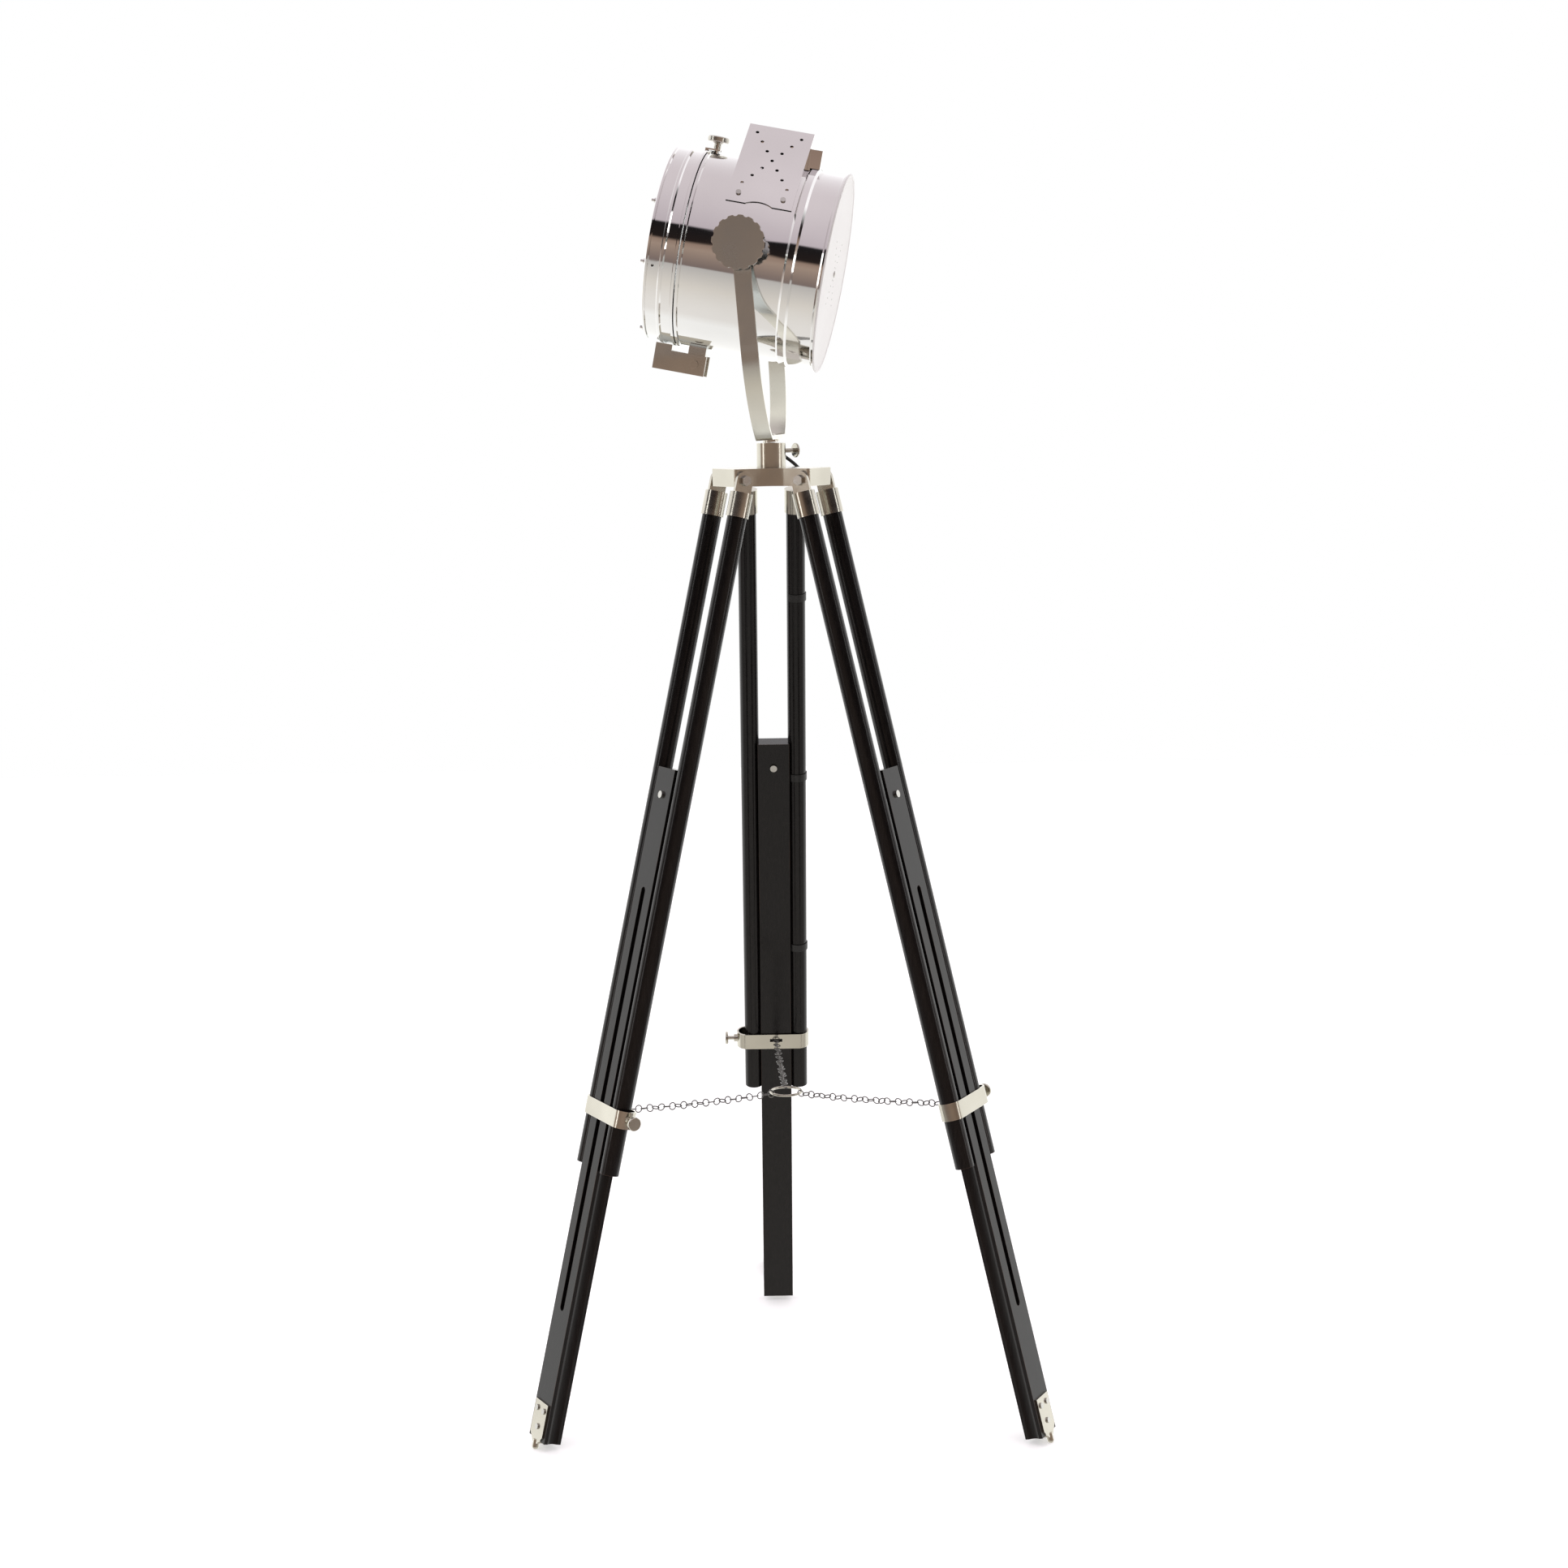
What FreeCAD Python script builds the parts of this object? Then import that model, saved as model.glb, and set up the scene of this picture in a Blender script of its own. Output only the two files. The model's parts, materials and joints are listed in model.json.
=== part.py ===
import FreeCAD, Part
import math
import os
import Sketcher

# Tripod floor lamp: a chrome drum spotlight in a forked yoke on a three-legged wooden stand.
# Frame: +Z up, floor at z = 0, viewer on the -Y side, +X to the viewer's right. Millimetres, degrees.

Vector = FreeCAD.Vector
Rotation = FreeCAD.Rotation
Placement = FreeCAD.Placement

doc = FreeCAD.newDocument("TripodLamp")

# ---------------------------------------------------------------- driving dimensions
DIMENSIONS = {
    # stand
    "axis_x": -7.9,             # the tripod's axis, so that the origin is the middle of the lamp's box
    "axis_y": -61.7,
    "hinge_z": 1100.0,          # height of the leg hinges
    "hinge_r": 53.2,            # leg hinge axis from the tripod's axis
    "splay_left": 13.8,
    "splay_right": 14.7,
    "splay_back": 12.7,
    # legs
    "pole_r": 11.1,
    "pole_gap": 57.5,           # pole centre to pole centre
    "pole_top": 17.0,           # down the leg from the hinge
    "pole_end": 803.0,
    "board_len": 788.0,
    "board_w": 38.5,
    "board_t": 21.8,
    "clamp_l": 736.0,           # middle of the clamp, down the leg
    "clamp_len": 20.0,
    "clamp_t": 2.0,
    "clamp_slack": 8.0,         # how far the band's loop stands off the pole at its screw
    "ferrule_r": 13.0,
    "ferrule_len": 28.0,
    "tang_t": 4.0,
    "bolt_r": 4.0,
    "foot_r": 4.0,
    "foot_flat": 1.0,           # how much of the pin's round end is worn flat
    "foot_out": 10.5,           # the pin from the middle of the board's thickness
    "foot_pin": 8.3,            # its round end's centre below the end of the board
    # hub and collar
    "hub_half": 27.0,           # half the width of each arm
    "hub_reach": 64.0,
    "hub_up": 13.0,             # top and bottom of the casting from the hinge axis
    "hub_down": 7.0,
    "hub_round": 26.0,
    "collar_r": 16.7,
    "collar_len": 28.0,
    "stem_r": 8.0,
    # yoke
    "pan": 8.0,                 # the head turned about the stem
    "lean": 4.4,                # the yoke leans towards the lens
    "yoke_z": 1145.0,           # underside of the yoke at the stem
    "pivot_up": 214.5,          # tilt axis above that
    "yoke_in": 116.5,           # inner face of each arm from the middle
    "strap_t": 4.5,
    "strap_w": 19.0,
    "strap_round_z": 105.0,     # the arms are straight above this and curve in below it
    "strap_corner": 14.0,
    # drum
    "tilt": 11.0,               # lens end up
    "drum_r": 108.5,
    "drum_half": 99.0,
    "sheet_t": 1.2,
    "seam_x": -62.0,
    "rim_r": 111.5,
    "pivot_x": 3.6,             # tilt axis from the drum's middle, along it and above it
    "pivot_z": 11.8,
    "knob_r": 29.3,
    "shaft_r": 4.0,
    "ridge_z": 147.0,
    "vent_front": -24.0,
    "vent_back": 50.0,
    "hinge_x": -40.0,           # door hinge pin, in the drum's frame
    "hinge_pin_z": -127.0,
    "running": 0.05,            # radial running clearance
    # lead
    "cord_r": 2.0,
    "ring_r": 18.5,
    "ring_wire": 1.5,
    "ring_z": 372.0,
    "ring_aside": 8.0,          # the ring hangs to the viewer's right of the tripod's axis
}

sheet = doc.addObject("Spreadsheet::Sheet", "Dims")
for row, (alias, number) in enumerate(DIMENSIONS.items(), start=1):
    sheet.set(f"A{row}", alias)
    sheet.set(f"B{row}", str(number))
    sheet.setAlias(f"B{row}", alias)
doc.recompute()


class Size:
    """A length with both its number and the expression that FreeCAD keeps bound to the sheet."""

    def __init__(self, number, text):
        self.number = number
        self.text = text

    def __add__(self, other):
        other = as_size(other)
        return Size(self.number + other.number, f"({self.text} + {other.text})")

    def __sub__(self, other):
        other = as_size(other)
        return Size(self.number - other.number, f"({self.text} - {other.text})")

    def __mul__(self, factor):
        return Size(self.number * factor, f"({self.text} * {factor})")

    def __truediv__(self, divisor):
        return Size(self.number / divisor, f"({self.text} / {divisor})")

    def __neg__(self):
        return self * -1

    def __rsub__(self, other):
        return as_size(other) - self

    __radd__ = __add__
    __rmul__ = __mul__


def as_size(value):
    return value if isinstance(value, Size) else Size(float(value), repr(float(value)))


def dim(alias):
    return Size(float(getattr(sheet, alias)), f"Dims.{alias}")


def number(alias):
    return float(getattr(sheet, alias))


# ---------------------------------------------------------------- building blocks
TURN = {
    "Z": Rotation(),
    "X": Rotation(Vector(0, 1, 0), 90),
    "Y": Rotation(Vector(1, 0, 0), -90),
}


def bind(obj, prop, value):
    obj.setExpression(prop, as_size(value).text)


def put(obj, at, rotation=None):
    """Place a piece with its position bound to the sheet."""
    at = [as_size(v) for v in at]
    base = Vector(*[v.number for v in at])
    obj.Placement = Placement(base, rotation or Rotation())
    for letter, value in zip("xyz", at):
        obj.setExpression(f"Placement.Base.{letter}", value.text)


def box(name, low, size):
    made = doc.addObject("Part::Box", name)
    for prop, value in zip(("Length", "Width", "Height"), size):
        bind(made, prop, value)
    put(made, low)
    return made


def centred_box(name, middle, size):
    low = [as_size(m) - as_size(s) / 2 for m, s in zip(middle, size)]
    return box(name, low, size)


def loose_box(name, size, placement):
    """A box with a whole placement of its own, for a piece at an angle to its frame."""
    made = doc.addObject("Part::Box", name)
    for prop, value in zip(("Length", "Width", "Height"), size):
        bind(made, prop, value)
    made.Placement = placement
    return made


def rod(name, radius, length, at, axis="Z"):
    """A cylinder from a point along +X, +Y or +Z, or along a rotation's own Z."""
    made = doc.addObject("Part::Cylinder", name)
    bind(made, "Radius", radius)
    bind(made, "Height", length)
    put(made, at, TURN[axis] if isinstance(axis, str) else axis)
    return made


def hexagon(name, corner_r, length, at, axis="Z"):
    made = doc.addObject("Part::Prism", name)
    made.Polygon = 6
    bind(made, "Circumradius", corner_r)
    bind(made, "Height", length)
    put(made, at, TURN[axis])
    return made


def join(name, pieces):
    made = doc.addObject("Part::MultiFuse", name)
    made.Shapes = pieces
    return made


def cut(name, base, tools):
    made = doc.addObject("Part::Cut", name)
    made.Base = base
    made.Tool = tools[0] if len(tools) == 1 else join(name + "_tools", tools)
    return made


def group(name, pieces):
    made = doc.addObject("Part::Compound", name)
    made.Links = pieces
    return made


def sketch_on(body, name, plane_role):
    sketch = body.newObject("Sketcher::SketchObject", name)
    plane = [f for f in body.Origin.OriginFeatures if f.Role == plane_role][0]
    sketch.AttachmentSupport = (plane, [""])
    sketch.MapMode = "FlatFace"
    return sketch


def outline(sketch, corners):
    """A closed outline of straight sides, each corner held by two distances from the origin."""
    corners = [(as_size(u), as_size(v)) for u, v in corners]
    count = len(corners)
    for i in range(count):
        start = corners[i]
        end = corners[(i + 1) % count]
        line = Part.LineSegment(
            Vector(start[0].number, start[1].number, 0), Vector(end[0].number, end[1].number, 0)
        )
        sketch.addGeometry(line, False)
    for i in range(count):
        sketch.addConstraint(Sketcher.Constraint("Coincident", i, 2, (i + 1) % count, 1))
    for i, corner in enumerate(corners):
        for kind, value in zip(("DistanceX", "DistanceY"), corner):
            held = sketch.addConstraint(Sketcher.Constraint(kind, -1, 1, i, 1, value.number))
            sketch.setExpression(f"Constraints[{held}]", value.text)


def turned(name, corners):
    """A body turned about its own X axis, from (x, radius) corners."""
    body = doc.addObject("PartDesign::Body", name)
    sketch = sketch_on(body, name + "_profile", "XY_Plane")
    outline(sketch, corners)
    spin = body.newObject("PartDesign::Revolution", name + "_turn")
    spin.Profile = sketch
    spin.ReferenceAxis = (sketch, ["H_Axis"])
    spin.Angle = 360
    return body


def plate(name, corners, thickness, plane="XY_Plane"):
    """A body padded from an outline; on YZ the outline is (y, z) and it grows along +X."""
    body = doc.addObject("PartDesign::Body", name)
    sketch = sketch_on(body, name + "_outline", plane)
    outline(sketch, corners)
    pad = body.newObject("PartDesign::Pad", name + "_pad")
    pad.Profile = sketch
    bind(pad, "Length", thickness)
    return body


def solid(name, shape):
    """A shape made with Part's own functions, for the pieces that sweep or bend."""
    made = doc.addObject("Part::Feature", name)
    made.Shape = shape
    return made


sub_parts = []


def sub_part(label, obj, frame):
    obj.Label = label
    obj.Placement = frame
    sub_parts.append(obj)


# ---------------------------------------------------------------- frames
def about(axis, degrees):
    return Rotation({"X": Vector(1, 0, 0), "Y": Vector(0, 1, 0), "Z": Vector(0, 0, 1)}[axis], degrees)


STAND = Placement(Vector(number("axis_x"), number("axis_y"), 0), Rotation())
HUB = STAND.multiply(Placement(Vector(0, 0, number("hinge_z")), Rotation()))
YOKE_TURN = about("Z", -number("pan")).multiply(about("Y", -number("lean")))
YOKE = STAND.multiply(Placement(Vector(0, 0, number("yoke_z")), YOKE_TURN))
PIVOT = YOKE.multVec(Vector(0, 0, number("pivot_up")))
DRUM_TURN = about("Z", -number("pan")).multiply(about("Y", number("tilt")))
DRUM = Placement(
    PIVOT - DRUM_TURN.multVec(Vector(number("pivot_x"), 0, number("pivot_z"))), DRUM_TURN
)

LEGS = {"left": 210.0, "right": 330.0, "back": 90.0}


def leg_frame(side):
    """Origin on the hinge axis, +X along that axis, +Y outwards from the leg, -Z down the leg."""
    azimuth = LEGS[side]
    out = about("Z", azimuth).multVec(Vector(number("hinge_r"), 0, 0))
    turn = about("Z", azimuth - 90).multiply(about("X", number(f"splay_{side}")))
    return HUB.multiply(Placement(out, turn))


def foot_depth(side):
    """How far down the leg the centre of the pin's round end lies when it stands on the floor."""
    splay = math.radians(number(f"splay_{side}"))
    height = number("foot_r") - number("foot_flat")
    return (number("hinge_z") - height + number("foot_out") * math.sin(splay)) / math.cos(splay)


def board_end(side):
    return foot_depth(side) - number("foot_pin")


def board_top(side):
    return board_end(side) - number("board_len")


# ---------------------------------------------------------------- hub, collar and their fasteners
def arm_corner(azimuth, out, across):
    out = as_size(out)
    across = as_size(across)
    c = math.cos(math.radians(azimuth))
    s = math.sin(math.radians(azimuth))
    x = Size(out.number * c - across.number * s, f"({out.text} * {c:.6f} - {across.text} * {s:.6f})")
    y = Size(out.number * s + across.number * c, f"({out.text} * {s:.6f} + {across.text} * {c:.6f})")
    return x, y


def make_hub():
    corners = []
    inner = dim("hub_half") / math.tan(math.radians(60))
    for azimuth in (90.0, 210.0, 330.0):
        corners.append(arm_corner(azimuth, dim("hub_reach"), -dim("hub_half")))
        corners.append(arm_corner(azimuth, dim("hub_reach"), dim("hub_half")))
        corners.append(arm_corner(azimuth, inner, dim("hub_half")))
    body = plate("hub_casting", corners, dim("hub_up") + dim("hub_down"))
    doc.recompute()
    pad = body.Tip
    scallops = []
    for index, edge in enumerate(pad.Shape.Edges, start=1):
        low, high = edge.Vertexes[0].Point, edge.Vertexes[-1].Point
        if abs(low.x - high.x) > 0.01 or abs(low.y - high.y) > 0.01:
            continue
        if math.hypot(low.x, low.y) < number("hub_reach") * 0.7:
            scallops.append(f"Edge{index}")
    rounded = body.newObject("PartDesign::Fillet", "hub_scallops")
    rounded.Base = (pad, scallops)
    bind(rounded, "Radius", dim("hub_round"))
    doc.recompute()
    ends = []
    for index, edge in enumerate(rounded.Shape.Edges, start=1):
        points = [v.Point for v in edge.Vertexes]
        upright = len(points) == 2 and (points[0] - points[1]).cross(Vector(0, 0, 1)).Length < 0.01
        if upright and math.hypot(points[0].x, points[0].y) > number("hub_reach"):
            ends.append(f"Edge{index}")
    softened = body.newObject("PartDesign::Fillet", "hub_corners")
    softened.Base = (rounded, ends)
    softened.Radius = 3.0
    put(body, (0, 0, -dim("hub_down")))
    bores = [rod("hub_stem_bore", dim("stem_r") + dim("running"), 40, (0, 0, -20))]
    for side, azimuth in LEGS.items():
        start = about("Z", azimuth).multVec(Vector(number("hinge_r"), -40, 0))
        along = about("Z", azimuth).multiply(TURN["Y"])
        bores.append(rod(f"hub_bore_{side}", dim("bolt_r") + dim("running"), 80, tuple(start), along))
    sub_part("hub", cut("hub", body, bores), HUB)


GROMMET_AZIMUTH = 64.0
GROMMET_DROP = 30.0
GROMMET_LEN = 6.0
GROMMET_Z = 34.0
SET_SCREW_AZIMUTH = 30.0
SET_SCREW_Z = 32.0


def direction(azimuth, drop):
    a, d = math.radians(azimuth), math.radians(drop)
    return Vector(math.cos(a) * math.cos(d), math.sin(a) * math.cos(d), -math.sin(d))


def aimed(vector):
    return Rotation(Vector(0, 0, 1), vector)


def make_collar():
    outer = rod("collar_tube", dim("collar_r"), dim("collar_len"), (0, 0, dim("hub_up")))
    bore = rod("collar_bore", dim("stem_r") + dim("running"), 60, (0, 0, 0))
    screw_way = direction(SET_SCREW_AZIMUTH, 0)
    screw_hole = rod("collar_screw_hole", 2.5 + 0.05, 20, (0, 0, SET_SCREW_Z), aimed(screw_way))
    cord_way = direction(GROMMET_AZIMUTH, GROMMET_DROP)
    mouth = direction(GROMMET_AZIMUTH, 0) * number("collar_r") + Vector(0, 0, GROMMET_Z)
    seat = mouth - cord_way * 4
    cord_hole = rod("collar_cord_hole", 3.2, 20, tuple(seat), aimed(cord_way))
    sub_part("collar", cut("collar", outer, [bore, screw_hole, cord_hole]), HUB)

    bush = rod("grommet_bush", 3.2, 4 + GROMMET_LEN - 1, tuple(seat), aimed(cord_way))
    lip = rod("grommet_lip", 4.4, GROMMET_LEN - 2.6, tuple(mouth + cord_way * 2.6), aimed(cord_way))
    core = rod("grommet_core", dim("cord_r") + 0.1, 20, tuple(seat - cord_way), aimed(cord_way))
    sub_part("cord_grommet", cut("cord_grommet", join("grommet_solid", [bush, lip]), [core]), HUB)


def thumb_screw(name, shank_r, shank_len, disc_r, disc_t):
    """A flat round thumb screw along +X: the shank starts at x = 0 and the disc is at its far end."""
    edge = 0.7
    end = shank_len + disc_t
    return turned(name, [
        (0, 0), (0, shank_r), (shank_len, shank_r), (shank_len, disc_r - edge), (shank_len + edge, disc_r),
        (end - edge, disc_r), (end, disc_r - edge), (end, 0),
    ])


def make_set_screw():
    screw = thumb_screw("set_screw_solid", 2.5, 23.5, 8.3, 2.6)
    start = direction(SET_SCREW_AZIMUTH, 0) * (number("stem_r") + 0.1) + Vector(0, 0, SET_SCREW_Z)
    frame = HUB.multiply(Placement(start, about("Z", SET_SCREW_AZIMUTH)))
    sub_part("collar_set_screw", screw, frame)


BOLT_HEAD_R = 6.0
BOLT_HEAD_T = 4.0


def make_hinge_bolts():
    """One through bolt for each leg, headed at one end and with a nut at the other."""
    reach = dim("hub_half") + dim("tang_t") + 0.6
    bolts = []
    for side, azimuth in LEGS.items():
        shank = rod(f"hinge_shank_{side}", dim("bolt_r"), reach * 2, (-reach, 0, 0), "X")
        head = hexagon(f"hinge_head_{side}", BOLT_HEAD_R, BOLT_HEAD_T, (reach, 0, 0), "X")
        nut = hexagon(f"hinge_nut_{side}", BOLT_HEAD_R, BOLT_HEAD_T, (-reach - BOLT_HEAD_T, 0, 0), "X")
        bolt = join(f"hinge_bolt_{side}", [shank, head, nut])
        out = about("Z", azimuth).multVec(Vector(number("hinge_r"), 0, 0))
        bolt.Placement = Placement(out, about("Z", azimuth - 90))
        bolts.append(bolt)
    sub_part("hinge_bolts", group("hinge_bolts", bolts), HUB)


# ---------------------------------------------------------------- legs
def make_poles(side):
    length = dim("pole_end") - dim("pole_top")
    poles = []
    for end, sign in (("a", -1), ("b", 1)):
        middle = dim("pole_gap") * 0.5 * sign
        poles.append(rod(f"pole_{side}_{end}", dim("pole_r"), length, (middle, 0, -dim("pole_end"))))
    sub_part(f"poles_{side}", group(f"poles_{side}", poles), leg_frame(side))


def make_ferrules(side):
    """A socket over the top of each pole, with a flat tang that the hinge bolt goes through."""
    top = dim("pole_top") - 3
    tang_w = 21.0
    ferrules = []
    for end, sign in (("a", -1), ("b", 1)):
        tag = f"{side}_{end}"
        middle = dim("pole_gap") * 0.5 * sign
        cup_at = (middle, 0, -top - dim("ferrule_len"))
        cup = rod(f"ferrule_cup_{tag}", dim("ferrule_r"), dim("ferrule_len"), cup_at)
        inner = (dim("hub_half") + 0.3) * sign
        low_x = inner if sign > 0 else inner - dim("tang_t")
        tang = box(f"ferrule_tang_{tag}", (low_x, -tang_w / 2, -top - 2), (dim("tang_t"), tang_w, top + 2))
        eye = rod(f"ferrule_eye_{tag}", tang_w / 2, dim("tang_t"), (low_x, 0, 0), "X")
        bore = rod(
            f"ferrule_bore_{tag}", dim("pole_r"), dim("ferrule_len"),
            (middle, 0, -dim("pole_top") - dim("ferrule_len")),
        )
        hole = rod(f"ferrule_hole_{tag}", dim("bolt_r") + dim("running"), 80, (-40, 0, 0), "X")
        ferrules.append(cut(f"ferrule_{tag}", join(f"ferrule_solid_{tag}", [cup, tang, eye]), [bore, hole]))
    sub_part(f"ferrules_{side}", group(f"ferrules_{side}", ferrules), leg_frame(side))


def racetrack(name, radius, low, height):
    """A block with round ends, one about a pole's axis and one standing off the other pole."""
    half = dim("pole_gap") / 2
    far = half + dim("clamp_slack")
    middle = box(name + "_mid", (-far, -radius, low), (far + half, radius * 2, height))
    ends = [rod(f"{name}_end{i}", radius, height, (x, 0, low)) for i, x in enumerate((-far, half))]
    return join(name, [middle] + ends)


SCREW_BOSS = 4.0
CHAIN_SLOT = (16.0, 4.4)      # width and height of the slot that takes the chain's first ring
CHAIN_SLOT_UP = 2.0           # its middle above the middle of the clamp


def make_clamp(side):
    """A band round both poles and the board, with the boss that its thumb screw threads through."""
    low = -dim("clamp_l") - dim("clamp_len") / 2
    outer_r = dim("pole_r") + dim("clamp_t")
    outer = racetrack(f"clamp_outer_{side}", outer_r, low, dim("clamp_len"))
    reach = dim("pole_gap") / 2 + dim("clamp_slack") + outer_r
    boss = rod(f"clamp_boss_{side}", 5.0, SCREW_BOSS + 1, (-reach - SCREW_BOSS, 0, -dim("clamp_l")), "X")
    band = join(f"clamp_solid_{side}", [outer, boss])
    inner = racetrack(f"clamp_inner_{side}", dim("pole_r") + 0.02, low - 1, dim("clamp_len") + 2)
    thread = rod(f"clamp_thread_{side}", 2.5, 20, (-reach - 10, 0, -dim("clamp_l")), "X")
    width, height = CHAIN_SLOT
    slot = centred_box(
        f"chain_slot_{side}", (0, -outer_r, CHAIN_SLOT_UP - dim("clamp_l")), (width, 6, height)
    )
    strap = cut(f"clamp_strap_{side}", band, [inner, thread, slot])
    sub_part(f"clamp_strap_{side}", strap, leg_frame(side))

    screw = thumb_screw(f"clamp_screw_solid_{side}", 2.45, 21.3, 8.0, 3.6)
    start = Vector(-(number("pole_gap") / 2 + number("pole_r") + 0.05), 0, -number("clamp_l"))
    frame = leg_frame(side).multiply(Placement(start, about("Z", 180)))
    sub_part(f"clamp_screw_{side}", screw, frame)


COVE_CLEARANCE = 0.4
GUIDE_DOWN = 31.0                  # guide bolt below the board's top
GROOVE_FROM, GROOVE_TO = 143.0, 632.0


def make_board(side):
    """The sliding leg board: hollow-sided so that it rides on the poles, with a long groove outside."""
    top = board_top(side)
    width, thick, length = dim("board_w"), dim("board_t"), dim("board_len")
    blank = box(f"board_blank_{side}", (-width / 2, -thick / 2, -length - top), (width, thick, length))
    coves = []
    for end, sign in (("a", -1), ("b", 1)):
        coves.append(
            rod(
                f"board_cove_{side}_{end}", dim("pole_r") + COVE_CLEARANCE, length + 2,
                (dim("pole_gap") * 0.5 * sign, 0, -length - top - 1),
            )
        )
    groove_w = 9.0
    groove = box(
        f"board_groove_{side}", (-groove_w / 2, thick / 2 - 6, -top - GROOVE_TO),
        (groove_w, 10, GROOVE_TO - GROOVE_FROM),
    )
    groove_ends = [
        rod(f"board_groove_{side}_{i}", groove_w / 2, 10, (0, thick / 2 - 6, -top - at), "Y")
        for i, at in enumerate((GROOVE_FROM, GROOVE_TO))
    ]
    bolt_hole = rod(f"board_bolt_hole_{side}", 2.5, 40, (0, -20, -top - GUIDE_DOWN), "Y")
    tools = coves + [groove, bolt_hole] + groove_ends
    sub_part(f"board_{side}", cut(f"board_{side}", blank, tools), leg_frame(side))

    half = dim("board_t") / 2
    at = -top - GUIDE_DOWN
    shank = rod(f"guide_shank_{side}", 2.5, half * 2 + 2, (0, -half - 1, at), "Y")
    heads = [
        rod(f"guide_head_{side}_{i}", 4.2, 2.6, (0, y, at), "Y")
        for i, y in enumerate((-half - 2.6, half))
    ]
    sub_part(f"guide_bolt_{side}", join(f"guide_bolt_{side}", [shank] + heads), leg_frame(side))


PLATE_T = 2.0
HEEL_T = 3.0
PLATE_POINT = 4.0             # the plate's point below the end of the board
FOOT_SCREWS = ((-8.0, 39.0), (8.0, 39.0), (0.0, 19.0))     # across the plate, up from its point


def make_foot(side):
    """A pointed plate on the board's outer face, turned in under its end, with a round-ended pin."""
    end = board_end(side)
    point = -end - PLATE_POINT
    face = dim("board_t") / 2
    tall, shoulder, half = 48.0, 10.0, 15.0
    shield = plate(
        f"foot_shield_{side}",
        [(-half, tall), (half, tall), (half, shoulder), (5, 0), (-5, 0), (-half, shoulder)],
        PLATE_T, "XZ_Plane",
    )
    put(shield, (0, face + PLATE_T, point))
    heel = box(f"foot_heel_{side}", (-7, 0, -end - HEEL_T), (14, face + PLATE_T, HEEL_T))
    ball_at = (0, dim("foot_out"), -end - dim("foot_pin"))
    pin = rod(f"foot_pin_{side}", dim("foot_r"), dim("foot_pin"), ball_at)
    ball = doc.addObject("Part::Sphere", f"foot_ball_{side}")
    bind(ball, "Radius", dim("foot_r"))
    ball.Angle2 = 0
    put(ball, ball_at)
    foot = join(f"foot_solid_{side}", [shield, heel, pin, ball])
    tip = leg_frame(side).multVec(Vector(0, number("foot_out"), -foot_depth(side)))
    under_floor = Placement(Vector(tip.x - 60, tip.y - 60, -40), Rotation())
    floor = loose_box(
        f"foot_floor_{side}", (120, 120, 40), leg_frame(side).inverse().multiply(under_floor)
    )
    holes = [
        rod(f"foot_hole_{side}_{i}", 2.0, 30, (x, face - 16, point + up), "Y")
        for i, (x, up) in enumerate(FOOT_SCREWS)
    ]
    sub_part(f"foot_plate_{side}", cut(f"foot_plate_{side}", foot, [floor] + holes), leg_frame(side))

    screws = []
    for i, (x, up) in enumerate(FOOT_SCREWS):
        shank = rod(f"foot_screw_shank_{side}_{i}", 1.9, PLATE_T, (x, face, point + up), "Y")
        head = rod(f"foot_screw_head_{side}_{i}", 3.4, 1.6, (x, face + PLATE_T, point + up), "Y")
        screws.append(join(f"foot_screw_{side}_{i}", [shank, head]))
    sub_part(f"foot_screws_{side}", group(f"foot_screws_{side}", screws), leg_frame(side))


# ---------------------------------------------------------------- spreader chains
CHAIN_SAG = 2.5
CHAIN_WIRE = 1.6
CHAIN_GAP = 0.2       # between the chain and the ring it hangs on
CHAIN_IN_SLOT = 1.0


def make_chains():
    centre = STAND.multVec(Vector(number("ring_aside"), 0, number("ring_z")))
    ring = doc.addObject("Part::Torus", "chain_ring")
    bind(ring, "Radius1", dim("ring_r"))
    bind(ring, "Radius2", dim("ring_wire"))
    sub_part("chain_ring", ring, Placement(centre, Rotation()))
    for side in LEGS:
        inset = number("pole_r") + number("clamp_t")
        slot = leg_frame(side).multVec(Vector(0, -inset, CHAIN_SLOT_UP - number("clamp_l")))
        outwards = Vector(slot.x - centre.x, slot.y - centre.y, 0).normalize()
        inner = centre + outwards * (number("ring_r") + number("ring_wire") + CHAIN_WIRE + CHAIN_GAP)
        outer = slot + (slot - inner).normalize() * CHAIN_IN_SLOT
        middle = (outer + inner) * 0.5 - Vector(0, 0, CHAIN_SAG)
        arc = Part.Arc(outer, middle, inner).toShape()
        path = Part.Wire([arc])
        normal = arc.tangentAt(arc.FirstParameter)
        section = Part.Wire([Part.Circle(outer, normal, CHAIN_WIRE).toShape()])
        chain = solid(f"chain_{side}", path.makePipeShell([section], True, True))
        sub_part(f"chain_{side}", chain, Placement())


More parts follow.
